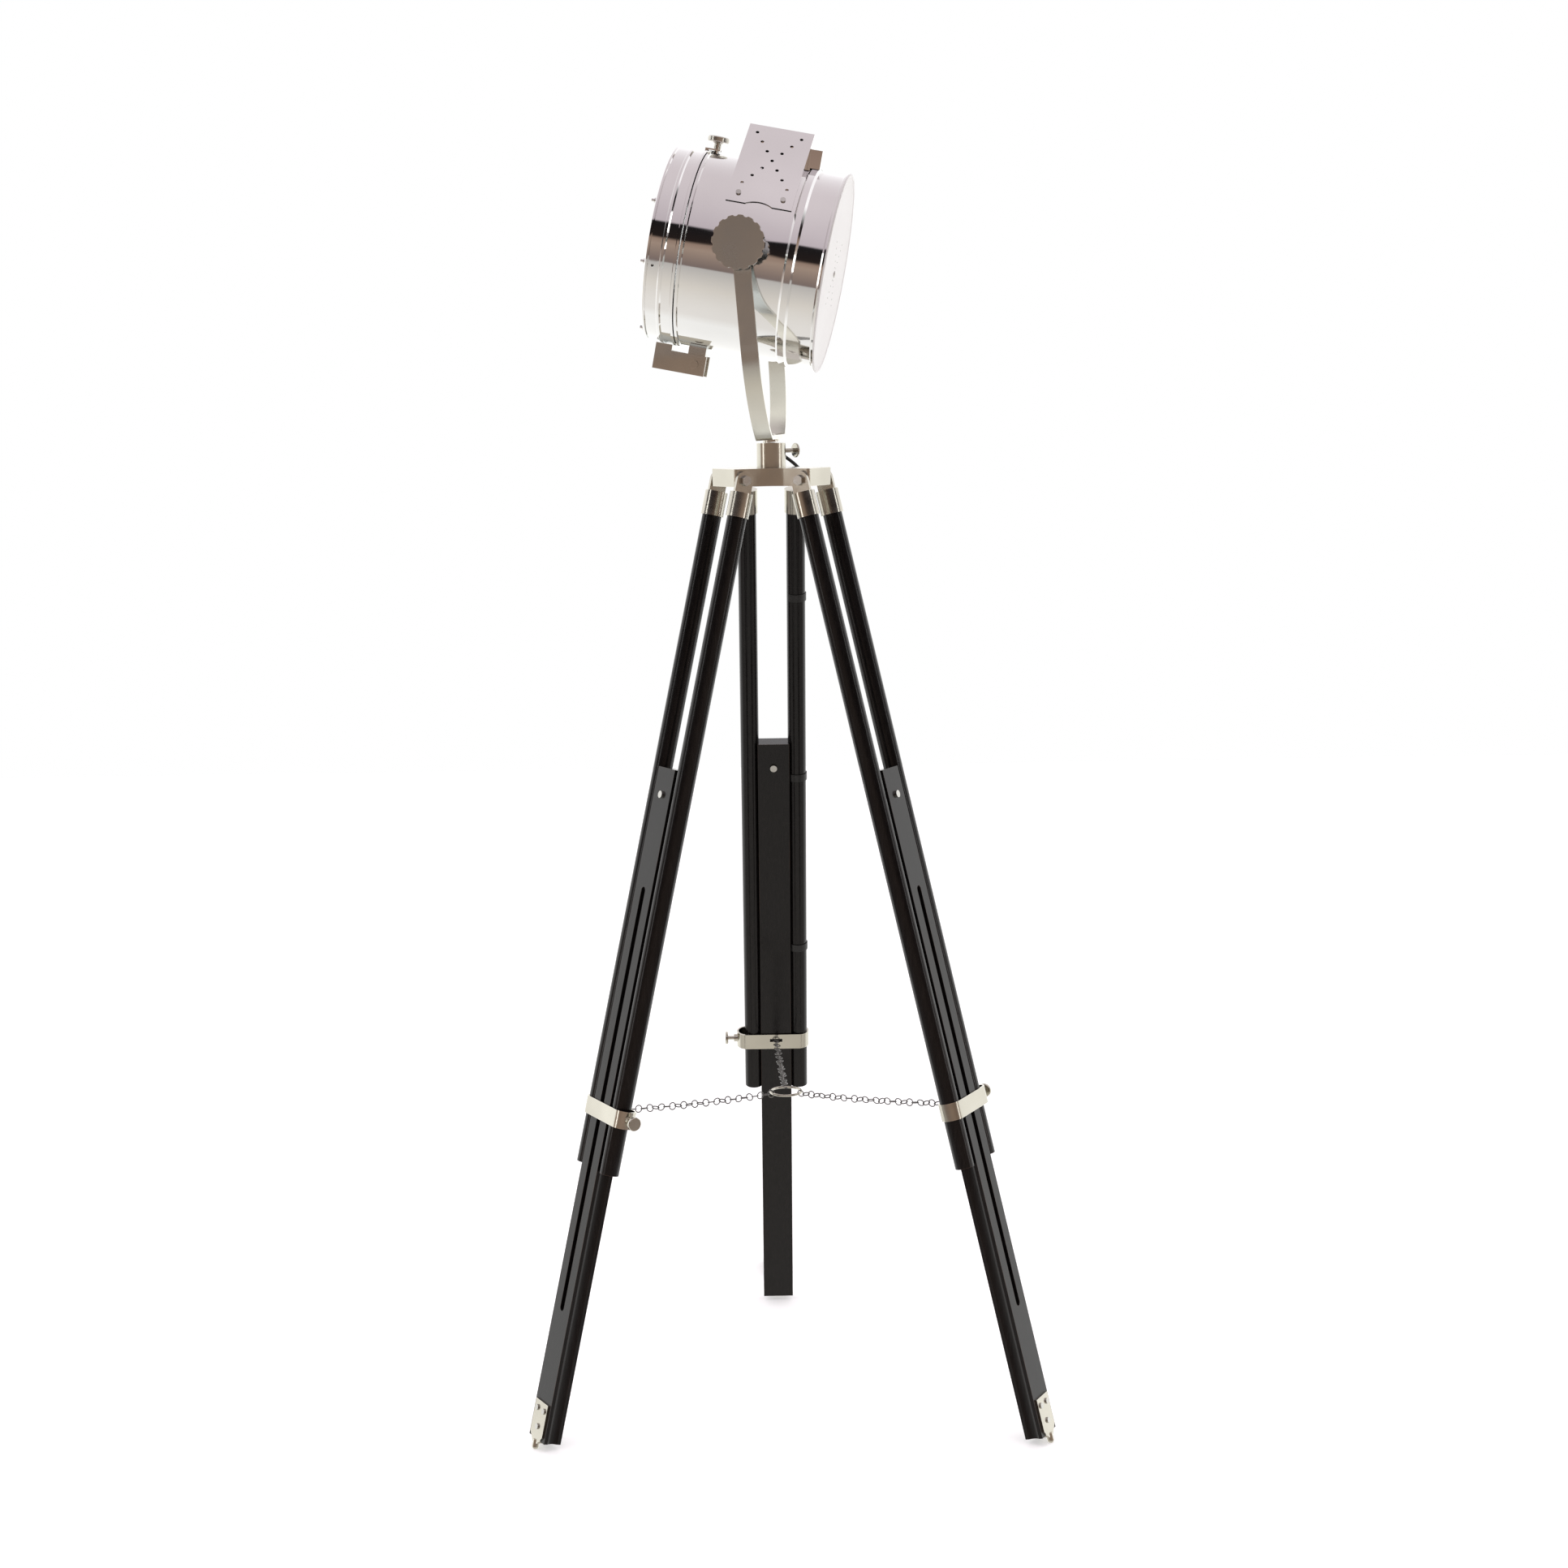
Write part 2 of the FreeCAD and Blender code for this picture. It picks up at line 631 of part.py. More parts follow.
# ---------------------------------------------------------------- yoke
def make_yoke():
    half = number("yoke_in") + number("strap_t")
    thick = number("strap_t")
    corner = number("strap_corner")
    round_z = number("strap_round_z")
    width = number("strap_w")
    rise = number("pivot_up")

    def u_face(out, low, corner):
        """The U seen along the drum: straight arms that curve about one centre to a flat foot."""
        inset = out - corner
        fillet_y = math.sqrt(inset ** 2 - (round_z - low - corner) ** 2)
        steep = math.atan2(round_z - low - corner, fillet_y)
        half_steep = steep / 2
        towards_foot = (steep + math.pi / 2) / 2

        def side(sign):
            arm_foot = Vector(0, sign * out, round_z)
            on_curve = Vector(0, sign * out * math.cos(half_steep), round_z - out * math.sin(half_steep))
            curve_end = Vector(0, sign * out * math.cos(steep), round_z - out * math.sin(steep))
            on_fillet = Vector(
                0, sign * (fillet_y + corner * math.cos(towards_foot)),
                low + corner - corner * math.sin(towards_foot),
            )
            foot_end = Vector(0, sign * fillet_y, low)
            return arm_foot, on_curve, curve_end, on_fillet, foot_end

        near = side(-1)
        far = side(1)
        near_top, far_top = Vector(0, -out, rise), Vector(0, out, rise)
        edges = [
            Part.LineSegment(near_top, near[0]), Part.Arc(*near[0:3]), Part.Arc(*near[2:5]),
            Part.LineSegment(near[4], far[4]), Part.Arc(*far[4:1:-1]), Part.Arc(*far[2::-1]),
            Part.LineSegment(far[0], far_top), Part.LineSegment(far_top, near_top),
        ]
        return Part.Face(Part.Wire([e.toShape() for e in edges]))

    outer = u_face(half, 0, corner).extrude(Vector(width, 0, 0))
    inner = u_face(half - thick, thick, corner - thick).extrude(Vector(width, 0, 0))
    strap = outer.cut(inner)
    strap.translate(Vector(-width / 2, 0, 0))
    for sign in (-1, 1):
        low = -half if sign < 0 else half - thick
        strap = strap.fuse(Part.makeCylinder(width / 2, thick, Vector(0, low, rise), Vector(0, 1, 0)))
    hole_r = number("shaft_r") + number("running")
    strap = strap.cut(Part.makeCylinder(hole_r, 2 * half + 2, Vector(0, -half - 1, rise), Vector(0, 1, 0)))
    strap = strap.cut(Part.makeCylinder(4.0, 20, Vector(0, 0, -5), Vector(0, 0, 1)))
    sub_part("yoke_strap", solid("yoke_strap", strap.removeSplitter()), YOKE)

    # The stem turns in the collar; its head is dressed to the leaning strap and riveted over it.
    lean = YOKE.inverse().multiply(HUB)
    stem_len = number("yoke_z") - number("hinge_z") - 3.5
    post = Part.makeCylinder(number("stem_r"), stem_len + 1, Vector(0, 0, -1), Vector(0, 0, 1))
    groove_at = Vector(0, 0, SET_SCREW_Z - 3)
    groove = Part.makeCylinder(number("stem_r") + 1, 6, groove_at, Vector(0, 0, 1))
    groove = groove.cut(Part.makeCylinder(number("stem_r") - 0.02, 6, groove_at, Vector(0, 0, 1)))
    post = post.cut(groove)
    post.Placement = lean
    seat = Part.makeCylinder(9.5, 3.0, Vector(0, 0, -3.0), Vector(0, 0, 1))
    rivet = Part.makeCylinder(4.0, thick, Vector(0, 0, 0), Vector(0, 0, 1))
    dome = Part.makeSphere(8.0, Vector(0, 0, thick - 5.0)).cut(
        Part.makeBox(40, 40, 40, Vector(-20, -20, thick - 40))
    )
    stem = post.fuse([seat, rivet, dome]).removeSplitter()
    sub_part("yoke_stem", solid("yoke_stem", stem), YOKE)


def make_knob(name, side_sign):
    """A scalloped disc on a boss; its shaft runs in the strap and screws into the drum's spacer."""
    lobes = 16
    outer = number("knob_r")
    start = number("yoke_in") + number("strap_t") + 0.3
    boss_len, disc_t = 6.5, 7.5
    disc = Part.makeCylinder(outer, disc_t, Vector(0, 0, start + boss_len), Vector(0, 0, 1))
    bite_r = 3.6
    for i in range(lobes):
        angle = 2 * math.pi * i / lobes
        centre = Vector((outer + 2.0) * math.cos(angle), (outer + 2.0) * math.sin(angle), start)
        disc = disc.cut(Part.makeCylinder(bite_r, disc_t + boss_len + 2, centre, Vector(0, 0, 1)))
    boss = Part.makeCone(9.0, 13.0, boss_len, Vector(0, 0, start), Vector(0, 0, 1))
    shaft_from = number("drum_r") + 1.5
    shaft = Part.makeCylinder(
        number("shaft_r"), start + boss_len - shaft_from, Vector(0, 0, shaft_from), Vector(0, 0, 1)
    )
    knob = disc.fuse([boss, shaft]).removeSplitter()
    turn = Rotation(Vector(0, 0, 1), Vector(0, side_sign, 0))
    frame = YOKE.multiply(Placement(Vector(0, 0, number("pivot_up")), turn))
    sub_part(name, solid(name, knob), frame)


# ---------------------------------------------------------------- drum
LATCH_X = -57.5       # middle of the latch screw along the drum


def make_drum_shell():
    r, t = dim("drum_r"), dim("sheet_t")
    seam, back = dim("seam_x"), dim("drum_half")
    bead, rim = 2.0, dim("rim_r")
    rib = 60.0
    profile = [
        (seam, r - 7), (seam, r + bead), (seam + 3, r + bead), (seam + 4, r),
        (rib - 6, r), (rib - 3.5, r + 2.6), (rib + 3.5, r + 2.6), (rib + 6, r),
        (back - 6, r), (back - 4, rim), (back - 2, rim), (back - 2, r - t),
        (rib + 5, r - t), (rib + 2.5, r + 1.4), (rib - 2.5, r + 1.4), (rib - 5, r - t),
        (seam + t, r - t), (seam + t, r - 7),
    ]
    shell = turned("drum_blank", profile)
    port = box("drum_port", (-6, -16, r - 10), (50, 32, 20))
    boss = rod("latch_boss", 3.8, 3.4, (LATCH_X, 0, r - 1.8))
    thread = rod("latch_thread", 2.45, 30, (LATCH_X, 0, r - 10))
    axles = [
        rod(f"drum_axle_hole_{i}", 5.0, 20, (dim("pivot_x"), y, dim("pivot_z")), "Y")
        for i, y in enumerate((-r - 10, r - 10))
    ]
    whole_shell = join("drum_with_boss", [shell, boss])
    sub_part("drum_shell", cut("drum_shell", whole_shell, [port, thread] + axles), DRUM)


def make_back_plate():
    back, rim = dim("drum_half"), dim("rim_r")
    disc = turned("back_plate_disc", [
        (back - 2, 0), (back - 2, rim), (back - 1, rim + 0.3), (back, rim - 0.6), (back, rim - 3),
        (back - 0.6, rim - 4), (back - 0.6, 0),
    ])
    holes = [rod("back_plate_hole", 2.5, 10, (back - 6, 0, 0), "X")]
    for i in range(1, 6):
        for j, turn in enumerate((50.0, 130.0, 230.0, 310.0)):
            a = math.radians(turn)
            y, z = 9.0 * i * math.cos(a), 9.0 * i * math.sin(a)
            holes.append(rod(f"back_plate_vent_{i}_{j}", 1.1, 10, (back - 6, y, z), "X"))
    sub_part("back_plate", cut("back_plate", disc, holes), DRUM)
    screw = turned("back_screw_solid", [
        (back - 9, 0), (back - 9, 2.45), (back - 0.6, 2.45), (back - 0.6, 4.2), (back + 0.6, 3.4),
        (back + 1, 0),
    ])
    sub_part("back_plate_screw", screw, DRUM)


HOOD_FOOT = 56.0      # the hood's sides come down to this height
HOOD_MIDDLE = 13.0
HOOD_SIDE = 44.4      # slope of each side
ARCH_ANGLE = 73.0     # of the round cut-out in each side's lower edge, about the drum from its top
SCREW_ANGLE = 53.0
CHIMNEY_LOW, CHIMNEY_HIGH = -12.0, 64.0
CHIMNEY_HALF = 22.0


def make_chimney():
    """A low box on the shell round the vent port, under the hood."""
    r, t = dim("drum_r"), dim("sheet_t")
    length = CHIMNEY_HIGH - CHIMNEY_LOW
    outer = box("vent_base_outer", (CHIMNEY_LOW, -CHIMNEY_HALF, r - 12), (length, CHIMNEY_HALF * 2, 33))
    inner = box(
        "vent_base_inner", (t + CHIMNEY_LOW, t - CHIMNEY_HALF, r - 20),
        (length - t * 2, CHIMNEY_HALF * 2 - t * 2, 60),
    )
    barrel = rod("vent_base_seat", r + 0.05, 120, (-30, 0, 0), "X")
    over_rib = rod("vent_base_rib", r + 2.65, 20, (53, 0, 0), "X")
    sub_part("vent_base", cut("vent_base", outer, [inner, barrel, over_rib]), DRUM)


def pitched(reach, top, half):
    """Kite from a flat ridge down to where its sides touch the circle of that radius."""
    angle = math.acos(reach / math.hypot(top, half)) + math.atan2(half, top)
    y, z = reach * math.sin(angle), reach * math.cos(angle)
    return [(-half, top), (half, top), (y, z), (0, 0), (-y, z)]


def hood_holes(tag, sign, outside):
    """Two rows of seven vent holes through one side of the hood, crossing at their middle hole."""
    slope = math.radians(HOOD_SIDE)
    tilt = Rotation(Vector(1, 0, 0), -sign * HOOD_SIDE)
    inside = tilt.multVec(Vector(0, 0, -6))
    rows = (((-13.0, 138.0), (39.0, 78.0)), ((37.5, 138.0), (-11.5, 78.0)))
    middle = 3
    holes = []
    for row, (start, end) in enumerate(rows):
        for i in range(2 * middle + 1):
            if row == 1 and i == middle:
                continue
            x = start[0] + (end[0] - start[0]) * i / (2 * middle)
            z = start[1] + (end[1] - start[1]) * i / (2 * middle)
            y = (outside - z * math.cos(slope)) / math.sin(slope)
            at = (x, sign * y + inside.y, z + inside.z)
            holes.append(rod(f"hood_hole_{tag}_{row}_{i}", 2.0, 12, at, tilt))
    return holes


def make_hood():
    """A pitched hood whose sides lie tangent to the drum, with the screws that hold it down."""
    r, t = dim("drum_r"), dim("sheet_t")
    front, back = dim("vent_front"), dim("vent_back")
    radius = number("drum_r") + 0.1
    thick = number("sheet_t")
    outside = radius + thick
    ridge, half_ridge = number("ridge_z"), 7.0
    length = back - front
    outer_roof = plate("hood_outer_roof", pitched(outside, ridge, half_ridge), length, "YZ_Plane")
    inner_line = pitched(radius, ridge - thick, half_ridge - 0.5)
    inner_roof = plate("hood_inner_roof", inner_line, length - t * 2, "YZ_Plane")
    put(outer_roof, (front, 0, 0))
    put(inner_roof, (front + t, 0, 0))
    outer_round = rod("hood_outer_round", outside, length, (front, 0, 0), "X")
    inner_round = rod("hood_inner_round", radius, length + 4, (front - 2, 0, 0), "X")
    below = box("hood_below", (front - 5, -200, -200), (length + 10, 400, 200 + HOOD_FOOT))
    passage = box("hood_passage", (back - 5, -22.6, r - 20), (10, 45.2, 41.6))
    tools = [inner_roof, inner_round, below, passage]
    screws = []
    for tag, sign in (("near", -1), ("far", 1)):
        arch_turn = Rotation(Vector(1, 0, 0), -sign * ARCH_ANGLE)
        arch_at = arch_turn.multVec(Vector(HOOD_MIDDLE, 0, 100))
        tools.append(rod(f"hood_arch_{tag}", 30.0, 60, tuple(arch_at), arch_turn))
        tools += hood_holes(tag, sign, outside)
        out = Rotation(Vector(1, 0, 0), -sign * SCREW_ANGLE)
        for i, x in enumerate((-12.0, 38.0)):
            name = f"{tag}_{i}"
            stem_at = out.multVec(Vector(x, 0, radius))
            head_at = out.multVec(Vector(x, 0, outside + 0.1))
            stem = rod(f"vent_screw_stem_{name}", 1.5, thick + 0.2, tuple(stem_at), out)
            head = rod(f"vent_screw_head_{name}", 3.0, 1.6, tuple(head_at), out)
            screws.append(join(f"vent_screw_{name}", [stem, head]))
            tools.append(rod(f"hood_screw_hole_{name}", 1.6, 20, tuple(out.multVec(Vector(x, 0, 100))), out))
    hood = cut("vent_hood", join("hood_block", [outer_roof, outer_round]), tools)
    sub_part("vent_hood", hood, DRUM)
    sub_part("vent_screws", group("vent_screws", screws), DRUM)


def make_spacers():
    """The turned bosses that hold the yoke off the drum and take the knobs' shafts."""
    spacers = []
    inner = dim("drum_r") - 3.5
    x, z = dim("pivot_x"), dim("pivot_z")
    for i, sign in enumerate((-1, 1)):
        length = dim("yoke_in") - 0.2 - inner
        low = inner if sign > 0 else -inner - length
        tube = rod(f"spacer_tube_{i}", 12.0, length, (x, low, z), "Y")
        bore = rod(f"spacer_bore_{i}", dim("shaft_r") + dim("running"), 40, (x, low - 10, z), "Y")
        round_in = rod(f"spacer_round_{i}", dim("drum_r") + 0.03, 60, (-30, 0, 0), "X")
        spacers.append(cut(f"spacer_{i}", tube, [bore, round_in]))
    sub_part("pivot_spacers", group("pivot_spacers", spacers), DRUM)


def make_lamp_insides():
    bowl = []
    count = 12
    depth, focus = 78.0, 26.0
    for i in range(count + 1):
        radius = 24.0 + (88.0 - 24.0) * i / count
        bowl.append((52.0 - radius * radius / (4 * focus) * depth / 78.0, radius))
    back_of_bowl = [(x + 1.2, radius) for x, radius in reversed(bowl)]
    sub_part("reflector", turned("reflector_solid", bowl + back_of_bowl), DRUM)

    holder = turned("lamp_holder_solid", [
        (30, 14.0), (30, 17.5), (38, 17.5), (38, 22.0), (41, 22.0), (41, 20.5), (76, 20.5), (76, 12.0),
        (84, 12.0), (84, 0), (60, 0), (60, 14.0),
    ])
    sub_part("lamp_holder", holder, DRUM)

    bulb = turned("bulb_solid", [
        (58, 0), (58, 7), (55, 13.1), (30, 13.1), (24, 15), (12, 21), (2, 27.5), (-8, 30), (-18, 27.5),
        (-26, 21), (-31, 11), (-33, 0),
    ])
    sub_part("bulb", bulb, DRUM)

    r, t = number("drum_r"), number("sheet_t")
    foot_z = math.sqrt((r - t) ** 2 - 15.0 ** 2)
    upright = box("bracket_upright", (76.05, -15, -foot_z), (3, 30, foot_z + 18))
    foot = box("bracket_foot", (62.0, -15, -foot_z), (17.5, 30, 2.5))
    keep = rod("bracket_round", dim("drum_r") - dim("sheet_t") - 0.05, 120, (0, 0, 0), "X")
    cup = rod("bracket_hole", 12.05, 20, (70, 0, 0), "X")
    shaped = doc.addObject("Part::Common", "bracket_shaped")
    shaped.Base = join("bracket_plates", [upright, foot])
    shaped.Tool = keep
    sub_part("holder_bracket", cut("holder_bracket", shaped, [cup]), DRUM)


HINGE_HALF = 12.0     # half the width of the fixed knuckle
LEAF_T = 2.0


def make_door_hinge():
    pin_x, pin_z = dim("hinge_x"), dim("hinge_pin_z")
    r = dim("drum_r")
    knuckle = box("knuckle_block", (pin_x - 9, -HINGE_HALF, pin_z - 7), (20, HINGE_HALF * 2, 30))
    seat = rod("knuckle_seat", r + 0.03, 60, (-70, 0, 0), "X")
    bore = rod("knuckle_bore", 2.5 + 0.05, 60, (pin_x, -30, pin_z), "Y")
    sub_part("hinge_bracket", cut("hinge_bracket", knuckle, [seat, bore]), DRUM)

    side = HINGE_HALF + 0.3 + LEAF_T
    leaf_low, leaf_high = pin_z - 12, pin_z + 10.5
    cheeks = []
    for i, y in enumerate((-side, side - LEAF_T)):
        cheeks.append(box(f"leaf_cheek_{i}", (-87, y, leaf_low), (60, LEAF_T, 22.5)))
    web = box("leaf_web", (-87, -side, leaf_low), (2, side * 2, 22.5))
    pad = box("leaf_pad", (-87, -side, leaf_high - 2), (19, side * 2, 14))
    door_seat = rod("leaf_seat", r + 2.02, 60, (-100, 0, 0), "X")
    leaf_bore = rod("leaf_bore", 2.5 + 0.05, 60, (pin_x, -30, pin_z), "Y")
    leaf = cut("hinge_leaf", join("leaf_solid", cheeks + [web, pad]), [door_seat, leaf_bore])
    sub_part("hinge_leaf", leaf, DRUM)

    shank = rod("pin_shank", 2.5, side * 2 + 0.4, (pin_x, -side - 0.2, pin_z), "Y")
    heads = [
        rod(f"pin_head_{i}", 4.8, 2.4, (pin_x, y, pin_z), "Y")
        for i, y in enumerate((-side - 2.6, side + 0.2))
    ]
    sub_part("hinge_pin", join("hinge_pin", [shank] + heads), DRUM)


STUD_ANGLES = (24.0, -14.0, -70.0, 110.0, 166.0, 204.0)
STUD_CIRCLE = 102.6


def make_door():
    r, t = dim("drum_r"), dim("sheet_t")
    front, seam = -dim("drum_half"), dim("seam_x") - 1.4
    ring = turned("door_blank", [
        (front, r - 15), (front, r), (front + 1, r + 1.3), (front + 3, r + 1.3), (front + 4, r),
        (front + 16, r), (front + 17.5, r + 1.5), (front + 20, r + 1.5), (front + 21.5, r),
        (seam - 4, r), (seam - 3, r + 2.0), (seam, r + 2.0), (seam, r - t),
        (front + t, r - t), (front + t, r - 15),
    ])
    stud_holes = []
    clips = []
    for i, angle in enumerate(STUD_ANGLES):
        a = math.radians(angle)
        # angle 0 is the near side of the door, 90 the top
        y, z = -STUD_CIRCLE * math.cos(a), STUD_CIRCLE * math.sin(a)
        stud_holes.append(rod(f"stud_hole_{i}", 1.8, 10, (front - 4, y, z), "X"))
        stud = rod(f"stud_{i}", 1.75, 14.5, (front - 5.5, y, z), "X")
        cap = rod(f"stud_cap_{i}", 3.0, 2.2, (front - 2.3, y, z), "X")
        reach = STUD_CIRCLE - 3.6
        middle = Vector(7.9 - number("drum_half"), -reach * math.cos(a), reach * math.sin(a))
        turned_paw = Placement(middle, Rotation(Vector(1, 0, 0), 180 - angle))
        corner = Placement(Vector(-0.7, -6.0, -4.0), Rotation())
        paw = loose_box(f"clip_paw_{i}", (1.4, 12.0, 8.0), turned_paw.multiply(corner))
        clips.append(join(f"clip_{i}", [stud, cap, paw]))
    screw_eye = rod("door_side_screw_hole", 1.6, 20, (front + 9, -r - 6, -28), "Y")
    tab = box("latch_tab", (LATCH_X - 12, -8, r + 2.6), (17, 16, 1.6))
    tab_foot = box("latch_tab_foot", (LATCH_X - 12, -8, r - 1), (4, 16, 4))
    slot = box("latch_slot", (LATCH_X - 3.2, -3.2, r + 1.5), (20, 6.4, 6))
    tab_cut = cut("latch_tab_slotted", tab, [slot])
    door = cut("door_ring", join("door_with_tab", [ring, tab_cut, tab_foot]), stud_holes + [screw_eye])
    sub_part("door_ring", door, DRUM)
    sub_part("lens_clips", group("lens_clips", clips), DRUM)

    glass = turned("lens_solid", [
        (front + t + 0.1, 0), (front + t + 0.1, STUD_CIRCLE - 3.2), (front + 7.0, STUD_CIRCLE - 3.2),
        (front + 7.0, 92.0), (front + 8.6, 70.0), (front + 9.6, 40.0), (front + 10.0, 0),
    ])
    sub_part("lens_glass", glass, DRUM)

    latch = turned("latch_solid", [
        (0, 0), (0, 2.4), (6.2, 2.4), (6.2, 4.2), (12.0, 4.2), (14.0, 6.5), (14.0, 11.6), (14.8, 12.3),
        (19.0, 12.3), (20.0, 11.0), (20.6, 0),
    ])
    turn = Rotation(Vector(0, 1, 0), -90)
    frame = DRUM.multiply(Placement(Vector(LATCH_X, 0, number("drum_r") - 1.5), turn))
    sub_part("latch_screw", latch, frame)


# ---------------------------------------------------------------- mains lead
# The lead leaves the back of the collar, goes behind the hub and down behind one pole of the back
# leg, over its clamp, down the outer face of the board and along the floor to a tied hank.
CORD_START = [(7.32, 15.01, 1134.0), (12.26, 25.13, 1127.5), (29.0, 35.5, 1115.5), (42.5, 46.5, 1098.5)]
# then across the back leg and down it: (across, outwards, down) in the leg's own frame
CORD_LEG = [
    (47.0, 17.0, 24.0), (41.0, 20.5, 58.0), (32.0, 17.5, 100.0), (28.75, 14.6, 145.5),
    (27.9, 15.6, 203.0), (29.6, 14.5, 262.0), (28.1, 15.6, 320.0), (28.75, 14.6, 375.5),
    (29.8, 15.5, 433.0), (28.0, 14.6, 491.0), (29.4, 15.6, 549.0), (28.75, 14.6, 605.5),
    (27.6, 16.6, 658.0), (26.6, 18.2, 711.0), (24.0, 17.6, 764.0), (17.5, 16.4, 816.0),
    (10.0, 15.2, 868.0), (4.5, 14.6, 921.0), (2.0, 15.4, 974.0), (1.0, 16.6, 1026.0),
    (-0.5, 18.2, 1072.0), (-1.5, 20.5, 1103.0),
]
CORD_FLOOR = [(-2.0, 331.0, 8.0), (-3.0, 351.0, 2.9), (-3.0, 372.0, 2.9)]
HANK_LOW = (-16.5, 372.0, 0.7)
HANK_SIZE = (29.0, 80.0, 17.0)
PLUG_LOW = (-17.5, 388.0)
CLIP_FROM = 19.6      # each clip wraps the pole from here outwards, clear of the board


def round_route(points):
    """Straight runs joined by tangent arcs, each arc as large as its two runs allow."""
    edges = []
    at = points[0]
    radii = []
    for before, corner, after in zip(points, points[1:], points[2:]):
        come = (corner - before).normalize()
        go = (after - corner).normalize()
        turn = come.getAngle(go)
        shorter = min((corner - before).Length, (after - corner).Length)
        trim = 0.45 * shorter
        radius = trim / math.tan(turn / 2)
        start, end = corner - come * trim, corner + go * trim
        towards = (go - come).normalize()
        centre = corner + towards * math.hypot(trim, radius)
        middle = centre - towards * radius
        edges.append(Part.LineSegment(at, start).toShape())
        edges.append(Part.Arc(start, middle, end).toShape())
        radii.append((radius, math.degrees(turn)))
        at = end
    edges.append(Part.LineSegment(at, points[-1]).toShape())
    return Part.Wire(edges), radii


def cord_route():
    start = [STAND.multVec(Vector(*p)) for p in CORD_START]
    leg = [leg_frame("back").multVec(Vector(x, out, -down)) for x, out, down in CORD_LEG]
    floor = [STAND.multVec(Vector(*p)) for p in CORD_FLOOR]
    return start + leg + floor


def make_cord():
    path, radii = round_route(cord_route())
    print("cord radii and turns:", " ".join(f"{r:.0f}/{t:.0f}" for r, t in radii))
    first = path.Edges[0]
    along = first.tangentAt(first.FirstParameter)
    section = Part.Wire([Part.Circle(first.Vertexes[0].Point, along, number("cord_r")).toShape()])
    tube = path.makePipeShell([section], True, True)
    expected = math.pi * number("cord_r") ** 2 * path.Length
    print(f"cord tube: length {path.Length:.1f}, volume {tube.Volume:.0f}, section x length {expected:.0f}")
    sub_part("cord_lead", solid("cord_lead", tube), Placement())

    hank = box("cord_hank_block", HANK_LOW, HANK_SIZE)
    doc.recompute()
    softened = doc.addObject("Part::Fillet", "cord_hank")
    softened.Base = hank
    softened.Edges = [
        (i, 6.0, 6.0) for i, edge in enumerate(hank.Shape.Edges, start=1)
        if abs(edge.Vertexes[0].Point.y - edge.Vertexes[1].Point.y) > 1
    ]
    sub_part("cord_hank", softened, STAND)

    x, y, z = HANK_LOW
    wide, deep, tall = HANK_SIZE
    tie_from = y + deep / 2 - 5
    tie_outer = box("tie_outer", (x - 0.7, tie_from, 0), (wide + 1.4, 10, tall + 1.4))
    tie_inner = box("tie_inner", (x, tie_from - 1, z), (wide, 12, tall))
    sub_part("cord_tie", cut("cord_tie", tie_outer, [tie_inner]), STAND)

    top = z + tall + 0.75
    px, py = PLUG_LOW
    relief = rod("plug_relief", 3.6, 22, (px + 8.5, py, top + 6.5), "Y")
    housing = box("plug_housing", (px, py + 22, top), (17, 24, 13))
    pins = [
        box(f"plug_pin_{i}", (px + 8.5 + dx, py + 46, top + 3.3), (1.5, 16, 6.4))
        for i, dx in enumerate((-7.1, 5.6))
    ]
    sub_part("plug", join("plug", [housing, relief] + pins), STAND)

    clips = []
    for i, down in enumerate((150.0, 380.0, 610.0)):
        frame_y = number("pole_r")
        band = rod(f"clip_band_{i}", frame_y + 1.2, 9, (dim("pole_gap") / 2, 0, -down))
        keeper = rod(f"clip_keeper_{i}", 3.9, 9, (dim("pole_gap") / 2, frame_y + 3.4, -down))
        way = rod(f"clip_way_{i}", 2.9, 20, (dim("pole_gap") / 2, frame_y + 3.4, -down - 5))
        pole = rod(f"clip_pole_{i}", dim("pole_r"), 20, (dim("pole_gap") / 2, 0, -down - 5))
        inside = box(f"clip_open_{i}", (-40, -40, -down - 5), (40 + CLIP_FROM, 80, 20))
        clips.append(cut(f"cord_clip_{i}", join(f"clip_solid_{i}", [band, keeper]), [way, pole, inside]))
    sub_part("cord_clips", group("cord_clips", clips), leg_frame("back"))


# ---------------------------------------------------------------- assemble, check and write
make_hub()
make_collar()
make_set_screw()
make_hinge_bolts()
for leg in LEGS:
    make_poles(leg)
    make_ferrules(leg)
    make_clamp(leg)
    make_board(leg)
    make_foot(leg)
make_chains()
make_yoke()
make_knob("tilt_knob_near", -1)
make_knob("tilt_knob_far", 1)
make_drum_shell()
make_back_plate()
make_chimney()
make_hood()
make_spacers()
make_lamp_insides()
make_door_hinge()
make_door()
make_cord()
doc.recompute()

for obj in doc.Objects:
    if "Invalid" in obj.State or "Error" in obj.State:
        raise RuntimeError(f"{obj.Name} failed: {obj.State}")
for obj in sub_parts:
    if obj.Shape.isNull() or not obj.Shape.isValid() or obj.Shape.Volume <= 0:
        raise RuntimeError(f"{obj.Label} has no valid shape")

os.makedirs("parts", exist_ok=True)
CORD_PARTS = {"cord_lead", "cord_hank", "cord_tie", "plug"}
whole = FreeCAD.BoundBox()
for obj in sub_parts:
    obj.Shape.exportStep(f"parts/{obj.Label}.step")
    if obj.Label not in CORD_PARTS:
        whole.add(obj.Shape.BoundBox)
print(f"{len(sub_parts)} sub-parts, box without the lead {whole}")
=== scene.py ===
import json
import math

import bpy
from mathutils import Matrix, Vector


